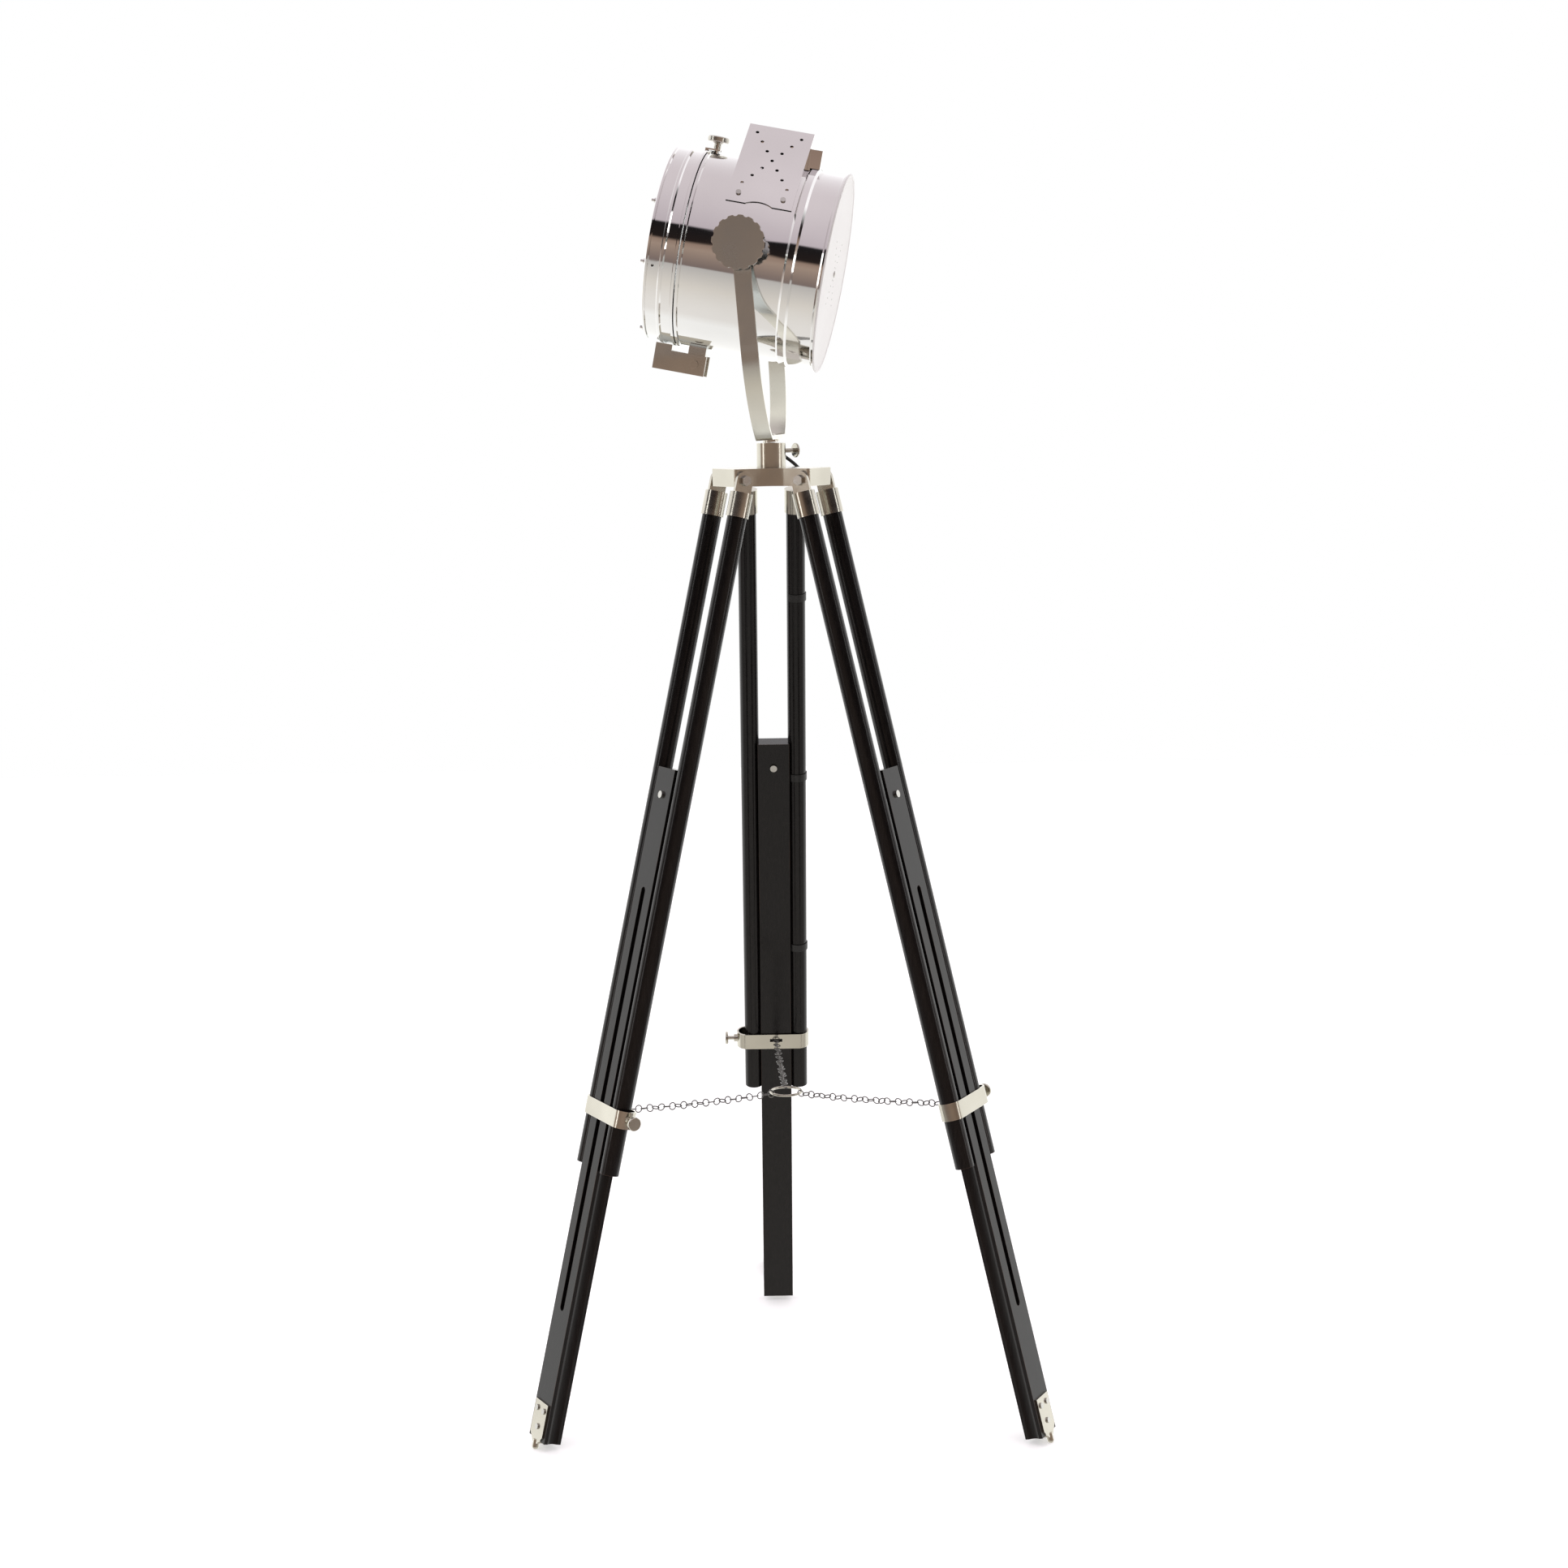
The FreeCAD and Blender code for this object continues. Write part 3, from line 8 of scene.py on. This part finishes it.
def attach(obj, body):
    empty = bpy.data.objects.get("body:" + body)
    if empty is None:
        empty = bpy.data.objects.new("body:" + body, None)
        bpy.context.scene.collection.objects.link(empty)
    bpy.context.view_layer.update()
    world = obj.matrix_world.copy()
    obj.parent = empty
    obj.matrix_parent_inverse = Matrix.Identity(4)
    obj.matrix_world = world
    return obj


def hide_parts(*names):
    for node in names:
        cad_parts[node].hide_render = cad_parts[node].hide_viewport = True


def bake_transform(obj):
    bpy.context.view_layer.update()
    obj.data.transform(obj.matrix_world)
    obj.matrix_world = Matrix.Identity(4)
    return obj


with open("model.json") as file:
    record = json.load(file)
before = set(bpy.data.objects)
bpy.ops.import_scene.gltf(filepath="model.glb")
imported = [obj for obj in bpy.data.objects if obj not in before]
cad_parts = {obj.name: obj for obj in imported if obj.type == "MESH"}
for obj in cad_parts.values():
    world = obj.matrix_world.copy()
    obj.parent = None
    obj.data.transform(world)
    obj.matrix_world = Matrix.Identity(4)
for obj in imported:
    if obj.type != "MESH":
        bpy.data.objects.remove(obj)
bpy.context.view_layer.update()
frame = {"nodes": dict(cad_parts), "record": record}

# Tripod floor lamp. Metres, +Z up, the viewer stands on the -Y side.
scene = bpy.context.scene
nodes = frame["nodes"]
SIDES = ("left", "right", "back")

# ---------------------------------------------------------------- where things are
AXIS = Vector((-0.0079, -0.0617, 0.0))      # the tripod's upright axis
HUB_Z = 1.1
HINGE_R = 0.0532
AZIMUTH = {"left": 210.0, "right": 330.0, "back": 90.0}
SPLAY = {"left": 13.8, "right": 14.7, "back": 12.7}

# The lamp house: its middle and the direction of its length, lens to back.
YOKE_SEAT = AXIS + Vector((0, 0, 1.145))
PAN = Matrix.Rotation(math.radians(-8.0), 3, "Z")
YOKE_LEAN = Matrix.Rotation(math.radians(-4.4), 3, "Y")
PIVOT = YOKE_SEAT + PAN @ YOKE_LEAN @ Vector((0, 0, 0.2145))
DRUM_TURN = PAN @ Matrix.Rotation(math.radians(11.0), 3, "Y")
DRUM_MIDDLE = PIVOT - DRUM_TURN @ Vector((0.0036, 0, 0.0118))
DRUM_LENGTHWISE = DRUM_TURN @ Vector((1, 0, 0))


def leg_point(side, across, out, down):
    """A point in a leg's own frame: across its hinge, outwards from its face, down its length."""
    azimuth = math.radians(AZIMUTH[side])
    heading = Matrix.Rotation(azimuth - math.pi / 2, 4, "Z")
    lean = Matrix.Rotation(math.radians(SPLAY[side]), 4, "X")
    hinge = AXIS + Vector((HINGE_R * math.cos(azimuth), HINGE_R * math.sin(azimuth), HUB_Z))
    return hinge + heading @ lean @ Vector((across, out, -down))


# ---------------------------------------------------------------- camera
CAMERA_PLACE = AXIS + Vector((-0.0444, -2.8534, 1.1957))
CAMERA_YAW, CAMERA_PITCH, CAMERA_ROLL = (math.radians(a) for a in (0.78, 9.12, 0.75))
SENSOR_MM = 36.0
LENS_MM = 56.5342
CAMERA_SHIFT = (0.0085, 0.0038)


def set_camera():
    ahead = Vector((math.sin(CAMERA_YAW), math.cos(CAMERA_YAW), 0)) * math.cos(CAMERA_PITCH)
    forward = ahead - Vector((0, 0, math.sin(CAMERA_PITCH)))
    level = forward.cross(Vector((0, 0, 1))).normalized()
    down = forward.cross(level)
    right = math.cos(CAMERA_ROLL) * level + math.sin(CAMERA_ROLL) * down
    below = math.cos(CAMERA_ROLL) * down - math.sin(CAMERA_ROLL) * level
    data = bpy.data.cameras.new("camera")
    data.sensor_width = SENSOR_MM
    data.lens = LENS_MM
    data.shift_x, data.shift_y = CAMERA_SHIFT
    data.clip_end = 60.0
    camera = bpy.data.objects.new("camera", data)
    scene.collection.objects.link(camera)
    pose = Matrix((right, -below, -forward)).transposed().to_4x4()
    pose.translation = CAMERA_PLACE
    camera.matrix_world = pose
    scene.camera = camera


set_camera()


# ---------------------------------------------------------------- making meshes and materials
def add_object(name, data):
    made = bpy.data.objects.new(name, data)
    scene.collection.objects.link(made)
    return made


def mesh_object(name, points, faces, smooth=True):
    mesh = bpy.data.meshes.new(name)
    mesh.from_pydata([tuple(p) for p in points], [], faces)
    mesh.update()
    for polygon in mesh.polygons:
        polygon.use_smooth = smooth
    return add_object(name, mesh)


class NodeTree:
    """A node tree whose nodes are added one call at a time."""

    def __init__(self, tree):
        self.tree = tree
        self.coordinates = self.node("ShaderNodeTexCoord")

    def node(self, kind, **values):
        made = self.tree.nodes.new(kind)
        for key, value in values.items():
            setattr(made, key, value)
        return made

    def link(self, output, socket):
        self.tree.links.new(output, socket)

    def ramp(self, factor, stops):
        made = self.node("ShaderNodeValToRGB")
        elements = made.color_ramp.elements
        while len(elements) < len(stops):
            elements.new(0.5)
        for element, (position, colour) in zip(elements, stops):
            element.position = position
            element.color = (*colour, 1.0)
        self.link(factor, made.inputs["Fac"])
        return made.outputs["Color"]

    def span(self, factor, low, high, source=(0.3, 0.7)):
        made = self.node("ShaderNodeMapRange")
        made.inputs["From Min"].default_value = source[0]
        made.inputs["From Max"].default_value = source[1]
        made.inputs["To Min"].default_value = low
        made.inputs["To Max"].default_value = high
        self.link(factor, made.inputs["Value"])
        return made.outputs["Result"]

    def mix(self, factor, a, b):
        made = self.node("ShaderNodeMix", data_type="RGBA")
        self.link(factor, made.inputs["Factor"])
        for socket, value in ((made.inputs["A"], a), (made.inputs["B"], b)):
            if isinstance(value, tuple):
                socket.default_value = (*value, 1.0)
            else:
                self.link(value, socket)
        return made.outputs["Result"]


class Shader(NodeTree):
    """A material built on the principled surface, with textures in the object's own space."""

    def __init__(self, name):
        self.material = bpy.data.materials.new(name)
        self.material.use_nodes = True
        super().__init__(self.material.node_tree)
        self.surface = self.tree.nodes["Principled BSDF"]
        self.place = self.coordinates.outputs["Object"]

    def set(self, socket, value):
        self.surface.inputs[socket].default_value = value

    def drive(self, socket, output):
        self.link(output, self.surface.inputs[socket])

    def noise(self, scale, detail=4.0, stretch=(1, 1, 1), rough=0.55):
        mapping = self.node("ShaderNodeMapping")
        mapping.inputs["Scale"].default_value = stretch
        self.link(self.place, mapping.inputs["Vector"])
        made = self.node("ShaderNodeTexNoise")
        made.inputs["Scale"].default_value = scale
        made.inputs["Detail"].default_value = detail
        made.inputs["Roughness"].default_value = rough
        self.link(mapping.outputs[0], made.inputs["Vector"])
        return made.outputs["Fac"]

    def bump(self, height, strength, distance):
        made = self.node("ShaderNodeBump")
        made.inputs["Strength"].default_value = strength
        made.inputs["Distance"].default_value = distance
        self.link(height, made.inputs["Height"])
        self.drive("Normal", made.outputs["Normal"])

    def vector(self, operation, a, b=None):
        made = self.node("ShaderNodeVectorMath", operation=operation)
        for socket, value in zip(made.inputs, (a, b)):
            if isinstance(value, Vector):
                socket.default_value = value
            elif value is not None:
                self.link(value, socket)
        return made.outputs["Value" if operation == "DOT_PRODUCT" else "Vector"]

    def inward(self, middle, axis):
        """1 where a face looks towards an axis, 0 where it looks away from it."""
        arm = self.vector("SUBTRACT", self.place, middle)
        away = self.vector("NORMALIZE", self.vector("SUBTRACT", arm, self.vector("PROJECT", arm, axis)))
        facing = self.vector("DOT_PRODUCT", away, self.coordinates.outputs["Normal"])
        return self.span(facing, 1.0, 0.0, (-0.35, -0.15))

    def height(self, low, high):
        """0 below one height and 1 above another."""
        split = self.node("ShaderNodeSeparateXYZ")
        self.link(self.place, split.inputs[0])
        return self.span(split.outputs["Z"], 0.0, 1.0, (low, high))

    def edges(self, radius):
        """0 on flat faces, rising towards 1 on corners."""
        rounded = self.node("ShaderNodeBevel", samples=4)
        rounded.inputs["Radius"].default_value = radius
        plain = self.node("ShaderNodeNewGeometry")
        dot = self.vector("DOT_PRODUCT", rounded.outputs["Normal"], plain.outputs["Normal"])
        return self.span(dot, 1.0, 0.0, (0.80, 0.985))


def metal(name, dark, light, rough, stretch=(1, 1, 1), scale=60.0, bump=0.02, edge=None):
    shader = Shader(name)
    shader.set("Metallic", 1.0)
    cloud = shader.noise(scale, 3.0, stretch)
    broad = shader.noise(9.0, 3.0)
    colour = shader.ramp(shader.span(broad, 0.0, 1.0), [(0.0, dark), (1.0, light)])
    if edge:
        colour = shader.mix(shader.edges(0.0012), colour, edge)
    shader.drive("Roughness", shader.span(cloud, *rough))
    shader.bump(cloud, bump, 0.0004)
    return shader, colour


def finish_metal(shader, colour):
    shader.drive("Base Color", colour)
    return shader.material


def stand_metal():
    return finish_metal(*metal(
        "stand_metal", (0.50, 0.475, 0.41), (0.62, 0.595, 0.52), (0.16, 0.26), scale=30.0, bump=0.008,
        edge=(0.74, 0.71, 0.64),
    ))


def fastener_steel():
    return finish_metal(*metal(
        "fastener_steel", (0.50, 0.49, 0.46), (0.62, 0.61, 0.58), (0.20, 0.32), scale=60.0, bump=0.01,
    ))


def chain_steel():
    return finish_metal(*metal(
        "chain_steel", (0.16, 0.16, 0.155), (0.26, 0.255, 0.25), (0.28, 0.40), scale=80.0, bump=0.02,
    ))


def head_nickel():
    """Painted reflection by height: grey about the knobs and upper arms, paling to cream below the lamp
    house and on its top.
    """
    shader, colour = metal(
        "head_nickel", (0.60, 0.58, 0.52), (0.70, 0.68, 0.61), (0.18, 0.28), scale=30.0, bump=0.008,
        edge=(0.84, 0.81, 0.75),
    )
    # painted reflection: between two heights the metal is a grey band with paler edges; above and below
    # it, the cream colour
    painted_reflection_band = shader.mix(shader.edges(0.0016), (0.62, 0.65, 0.64), (0.84, 0.82, 0.78))
    grey = shader.mix(shader.height(1.235, 1.245), colour, painted_reflection_band)
    return finish_metal(shader, shader.mix(shader.height(1.40, 1.42), grey, colour))


def head_chrome():
    """Bright outside; the faces that look inwards are near black, painted shade inside the lamp house."""
    shader, colour = metal(
        "head_chrome", (0.80, 0.79, 0.78), (0.86, 0.85, 0.84), (0.035, 0.080), scale=18.0, bump=0.005,
    )
    # painted shade: faces that look in towards the lamp house's lengthwise axis are mixed to near black
    inward_painted_shade = shader.inward(DRUM_MIDDLE, DRUM_LENGTHWISE)
    return finish_metal(shader, shader.mix(inward_painted_shade, colour, (0.022, 0.021, 0.020)))


def black_wood():
    shader = Shader("black_wood")
    grain = shader.noise(34.0, 9.0, (16.0, 16.0, 0.7), 0.62)
    patch = shader.noise(11.0, 4.0, (2.0, 2.0, 0.8))
    paint = [(0.0, (0.0035, 0.0031, 0.0032)), (1.0, (0.011, 0.0092, 0.0088))]
    dark = shader.ramp(shader.span(grain, 0.0, 1.0), paint)
    worn = shader.node("ShaderNodeMath", operation="MULTIPLY")
    shader.link(shader.edges(0.0014), worn.inputs[0])
    shader.link(shader.span(patch, 0.10, 0.85, (0.42, 0.60)), worn.inputs[1])
    colour = shader.mix(worn.outputs[0], dark, (0.085, 0.050, 0.036))
    shader.drive("Base Color", colour)
    shader.drive("Roughness", shader.span(patch, 0.15, 0.26))
    shader.set("Specular IOR Level", 0.30)
    shader.bump(grain, 0.06, 0.0004)
    return shader.material


def painted(name, dark, light, rough, bump=0.05, scale=220.0):
    shader = Shader(name)
    fine = shader.noise(scale, 3.0)
    broad = shader.noise(7.0, 3.0)
    shader.drive("Base Color", shader.ramp(shader.span(broad, 0.0, 1.0), [(0.0, dark), (1.0, light)]))
    shader.drive("Roughness", shader.span(broad, *rough))
    shader.bump(fine, bump, 0.0003)
    return shader.material


def clear_glass():
    shader = Shader("lens")
    wipe = shader.noise(14.0, 4.0, (1, 1, 3))
    shader.drive("Base Color", shader.ramp(wipe, [(0.0, (0.93, 0.96, 0.95)), (1.0, (0.99, 1.0, 1.0))]))
    shader.drive("Roughness", shader.span(wipe, 0.0, 0.05))
    shader.set("IOR", 1.5)
    shader.set("Transmission Weight", 1.0)
    return shader.material


def frosted_glass():
    shader = Shader("bulb_glass")
    coat = shader.noise(40.0, 4.0)
    shader.drive("Base Color", shader.ramp(coat, [(0.0, (0.82, 0.80, 0.75)), (1.0, (0.94, 0.93, 0.90))]))
    shader.drive("Roughness", shader.span(coat, 0.30, 0.45))
    shader.set("Subsurface Weight", 0.3)
    shader.set("Subsurface Radius", (0.01, 0.01, 0.01))
    return shader.material


MATERIALS = {
    "head_chrome": head_chrome(),
    "head_nickel": head_nickel(),
    "stand_metal": stand_metal(),
    "fastener_steel": fastener_steel(),
    "black_wood": black_wood(),
    "back_white": painted("back_white", (0.74, 0.73, 0.72), (0.80, 0.79, 0.78), (0.30, 0.42)),
    "lens": clear_glass(),
    "bulb_glass": frosted_glass(),
    "holder_black": painted("holder_black", (0.012, 0.012, 0.013), (0.022, 0.022, 0.023), (0.42, 0.55)),
    "cord_black": painted(
        "cord_black", (0.006, 0.006, 0.006), (0.012, 0.012, 0.012), (0.42, 0.60), bump=0.10, scale=400.0,
    ),
    "clip_black": painted("clip_black", (0.010, 0.010, 0.010), (0.018, 0.018, 0.018), (0.38, 0.52)),
    "chain_steel": chain_steel(),
}
slots = {entry["node"]: entry["material_slot"] for entry in frame["record"]["subparts"]}


def dress(obj, material):
    obj.data.materials.clear()
    obj.data.materials.append(MATERIALS[material])


def soften(obj, width, segments=2):
    """A small round on every sharp edge, so that edges catch the light."""
    bevel = obj.modifiers.new("edges", "BEVEL")
    bevel.width = width
    bevel.segments = segments
    bevel.limit_method = "ANGLE"
    bevel.angle_limit = math.radians(35)
    bevel.harden_normals = True


for name, obj in nodes.items():
    dress(obj, slots[name])

EDGE_ROUNDS = {
    "hub": 0.0008, "collar": 0.0006, "yoke_strap": 0.0006, "vent_hood": 0.0003, "hinge_leaf": 0.0004,
    "back_plate": 0.0003, "tilt_knob_near": 0.0006, "tilt_knob_far": 0.0006, "hinge_bracket": 0.0005,
}
for side in SIDES:
    EDGE_ROUNDS[f"board_{side}"] = 0.0011
    EDGE_ROUNDS[f"ferrules_{side}"] = 0.0005
    EDGE_ROUNDS[f"clamp_strap_{side}"] = 0.0004
    EDGE_ROUNDS[f"foot_plate_{side}"] = 0.0003
for name, width in EDGE_ROUNDS.items():
    soften(nodes[name], width)


# ---------------------------------------------------------------- chains
LINK_R = 0.0041         # middle of the wire from the middle of one round link
LINK_WIRE = 0.00066
LINK_PITCH = 0.0074
RING = AXIS + Vector((0.008, 0.0, 0.372))
RING_R = 0.0185
CHAIN_SAG = 0.0025
AROUND, SECTION = 18, 6                 # sections round a link, points round its wire
CHAIN_INSET, CHAIN_DOWN = -0.0126, 0.734  # the clamp's slot in the leg's own frame
RING_INSET = 0.0017                     # from the middle of the ring's wire to a chain's end


def link_points(centre, along, side):
    """Sections of wire round one ring-shaped link."""
    normal = along.cross(side)
    points = []
    for i in range(AROUND):
        turn = 2 * math.pi * i / AROUND
        outward = along * math.cos(turn) + side * math.sin(turn)
        for j in range(SECTION):
            a = 2 * math.pi * j / SECTION
            away = LINK_R + LINK_WIRE * math.cos(a)
            points.append(centre + outward * away + normal * (LINK_WIRE * math.sin(a)))
    return points


def link_faces(base):
    faces = []
    for i in range(AROUND):
        here, there = base + i * SECTION, base + (i + 1) % AROUND * SECTION
        for j in range(SECTION):
            k = (j + 1) % SECTION
            faces.append((here + j, here + k, there + k, there + j))
    return faces


def make_chain(side):
    """Round links from the slot in the clamp to the ring, each turned about a quarter from the last."""
    slot = leg_point(side, 0.0, CHAIN_INSET, CHAIN_DOWN)
    outwards = Vector((slot.x - RING.x, slot.y - RING.y, 0)).normalized()
    ring = RING + outwards * (RING_R - RING_INSET)
    span = slot - ring
    count = round(span.length / LINK_PITCH)
    points, faces = [], []
    for i in range(count):
        share = (i + 0.5) / count
        centre = slot - span * share - Vector((0, 0, 4 * CHAIN_SAG * share * (1 - share)))
        along = (-span - Vector((0, 0, 4 * CHAIN_SAG * (1 - 2 * share)))).normalized()
        level = along.cross(Vector((0, 0, 1))).normalized()
        upright = level.cross(along)
        twist = math.radians(90 * (i % 2) + 8 + 15 * math.sin(i * 1.7) + 9 * math.sin(i * 0.61))
        faces += link_faces(len(points))
        points += link_points(centre, along, level * math.cos(twist) + upright * math.sin(twist))
    chain = mesh_object(f"chain_links_{side}", points, faces)
    dress(chain, "chain_steel")
    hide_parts(f"chain_{side}")
    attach(chain, f"leg_{side}")


for side in SIDES:
    make_chain(side)


# ---------------------------------------------------------------- mains lead
CORD_R = 0.002
CORD_START = [(7.32, 15.01, 1134.0), (12.26, 25.13, 1127.5), (29.0, 35.5, 1115.5), (42.5, 46.5, 1098.5)]
# across the back leg and down it: (across, outwards, down)
CORD_LEG = [
    (47.0, 17.0, 24.0), (41.0, 20.5, 58.0), (32.0, 17.5, 100.0), (28.75, 14.6, 145.5),
    (27.9, 15.6, 203.0), (29.6, 14.5, 262.0), (28.1, 15.6, 320.0), (28.75, 14.6, 375.5),
    (29.8, 15.5, 433.0), (28.0, 14.6, 491.0), (29.4, 15.6, 549.0), (28.75, 14.6, 605.5),
    (27.6, 16.6, 658.0), (26.6, 18.2, 711.0), (24.0, 17.6, 764.0), (17.5, 16.4, 816.0),
    (10.0, 15.2, 868.0), (4.5, 14.6, 921.0), (2.0, 15.4, 974.0), (1.0, 16.6, 1026.0),
    (-0.5, 18.2, 1072.0), (-1.5, 20.5, 1103.0),
]
CORD_FLOOR = [(-2.0, 331.0, 8.0), (-3.0, 351.0, 2.9)]
HANK = (-2.0, 412.0)      # middle of the hank on the floor


# each turn of the hank: half width, near end, far end, height
HANK_TURNS = [
    (11.6, -31.0, 36.5, 3.2), (10.6, -34.5, 34.0, 6.4),
    (11.9, -32.0, 37.0, 9.8), (10.9, -35.5, 35.0, 13.2),
]


def hank_points():
    """Long turns that lie over one another, each a little different, under a tie."""
    points = []
    for half, near, far, height in HANK_TURNS:
        points += [
            (half, near + 11, height), (half - 0.6, 2.0, height + 0.2), (half, far - 9, height + 0.4),
            (half * 0.62, far, height + 0.8), (-half * 0.62, far, height + 0.8),
            (-half, far - 9, height + 1.2), (-half + 0.6, 0.0, height + 1.4),
            (-half, near + 10, height + 1.8), (-half * 0.6, near, height + 1.9),
            (half * 0.6, near + 0.5, height + 2.5),
        ]
    return [(HANK[0] + x, HANK[1] + y, z) for x, y, z in points]


# out of the top of the hank, back over its near end and into the plug
CORD_END = [
    (10.0, 395.0, 19.5), (10.5, 380.0, 21.0), (4.0, 371.0, 23.5), (-6.0, 370.0, 24.6),
    (-9.0, 380.0, 24.95), (-9.0, 389.0, 24.95),
]


def stand_point(point):
    return AXIS + Vector(point) / 1000


def evaluated_mesh(obj):
    bpy.context.view_layer.update()
    graph = bpy.context.evaluated_depsgraph_get()
    return bpy.data.meshes.new_from_object(obj.evaluated_get(graph))


def make_cord():
    route = [stand_point(p) for p in CORD_START]
    route += [leg_point("back", x / 1000, out / 1000, down / 1000) for x, out, down in CORD_LEG]
    route += [stand_point(p) for p in CORD_FLOOR + hank_points()]
    route += [stand_point(p) for p in CORD_END]
    curve = bpy.data.curves.new("lead_line", "CURVE")
    curve.dimensions = "3D"
    curve.resolution_u = 10
    spline = curve.splines.new("NURBS")
    spline.points.add(len(route) - 1)
    for point, place in zip(spline.points, route):
        point.co = (*place, 1.0)
    spline.order_u = 3
    spline.use_endpoint_u = True
    bare = add_object("lead_line", curve)
    path = [v.co.copy() for v in evaluated_mesh(bare).vertices]
    curve.bevel_depth = CORD_R
    curve.bevel_resolution = 3
    curve.use_fill_caps = True
    tube = add_object("mains_lead", evaluated_mesh(bare))
    bpy.data.objects.remove(bare)
    for polygon in tube.data.polygons:
        polygon.use_smooth = True
    dress(tube, "cord_black")
    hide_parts("cord_lead", "cord_hank")
    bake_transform(tube)


make_cord()


# ---------------------------------------------------------------- room and light
FLOOR_CORNERS = [(-5, -1.2, 0), (5, -1.2, 0), (5, 5, 0), (-5, 5, 0)]
FLOOR_GLOW = 0.42


def make_floor():
    floor = mesh_object("floor", FLOOR_CORNERS, [(0, 1, 2, 3)])
    shader = Shader("floor_paper")
    tone = shader.ramp(shader.noise(1.5, 2.0), [(0.0, (0.94, 0.94, 0.94)), (1.0, (0.97, 0.97, 0.97))])
    shader.drive("Base Color", tone)
    shader.drive("Emission Color", tone)
    shader.set("Emission Strength", FLOOR_GLOW)
    shader.set("Roughness", 0.9)
    shader.set("Specular IOR Level", 0.1)
    floor.data.materials.append(shader.material)
    floor.visible_glossy = False


make_floor()

# The room's brightness by height; each position is (1 + sine of the elevation) / 2.
NEAR_BANDS = [
    (0.0, (0.92, 0.90, 0.87)), (0.16, (0.78, 0.74, 0.68)), (0.33, (0.55, 0.53, 0.51)),   # pale floor
    (0.337, (0.22, 0.17, 0.155)), (0.50, (0.40, 0.30, 0.24)), (0.545, (0.34, 0.24, 0.19)),  # tan wall
    (0.572, (0.020, 0.014, 0.013)), (0.705, (0.012, 0.011, 0.012)),                      # dark gap
    (0.722, (0.60, 0.53, 0.57)), (1.0, (0.74, 0.67, 0.70)),                              # ceiling
]
FAR_BANDS = [
    (0.0, (1.0, 1.0, 0.98)), (0.5, (1.4, 1.4, 1.38)), (0.75, (1.1, 1.07, 1.1)), (1.0, (0.74, 0.67, 0.70)),
]
NEAR_ENDS, FAR_STARTS = -0.05, 0.15     # where the one side fades into the other, by direction along Y


def make_world():
    """A plain white background; in reflections, a room that is banded on its near side."""
    world = bpy.data.worlds.new("studio")
    scene.world = world
    world.use_nodes = True
    made = NodeTree(world.node_tree)
    split = made.node("ShaderNodeSeparateXYZ")
    made.link(made.coordinates.outputs["Generated"], split.inputs[0])
    height = made.span(split.outputs["Z"], 0.0, 1.0, (-1.0, 1.0))
    farness = made.span(split.outputs["Y"], 0.0, 1.0, (NEAR_ENDS, FAR_STARTS))
    room = made.mix(farness, made.ramp(height, NEAR_BANDS), made.ramp(height, FAR_BANDS))
    rays = made.node("ShaderNodeLightPath")
    seen = made.mix(rays.outputs["Is Camera Ray"], room, (1.0, 1.0, 1.0))
    made.link(seen, made.tree.nodes["Background"].inputs["Color"])


make_world()


def soft_light(name, place, target, size, power):
    data = bpy.data.lights.new(name, "AREA")
    data.shape = "RECTANGLE"
    data.size, data.size_y = size
    data.energy = power
    light = add_object(name, data)
    light.location = place
    light.rotation_euler = (Vector(target) - Vector(place)).to_track_quat("-Z", "Y").to_euler()
    return light


overhead = soft_light("overhead", (0, -0.6, 4.2), (0, 0.3, 0), (5.0, 4.0), 30)
overhead.visible_glossy = False
soft_light("left_bank", (-3.4, -1.6, 1.7), (0, 0, 1.0), (0.5, 2.6), 12)
soft_light("right_bank", (3.6, -1.2, 1.6), (0, 0, 1.0), (0.5, 2.6), 12)

scene.view_settings.view_transform = "Standard"
scene.view_settings.look = "None"
scene.view_settings.exposure = 0.0
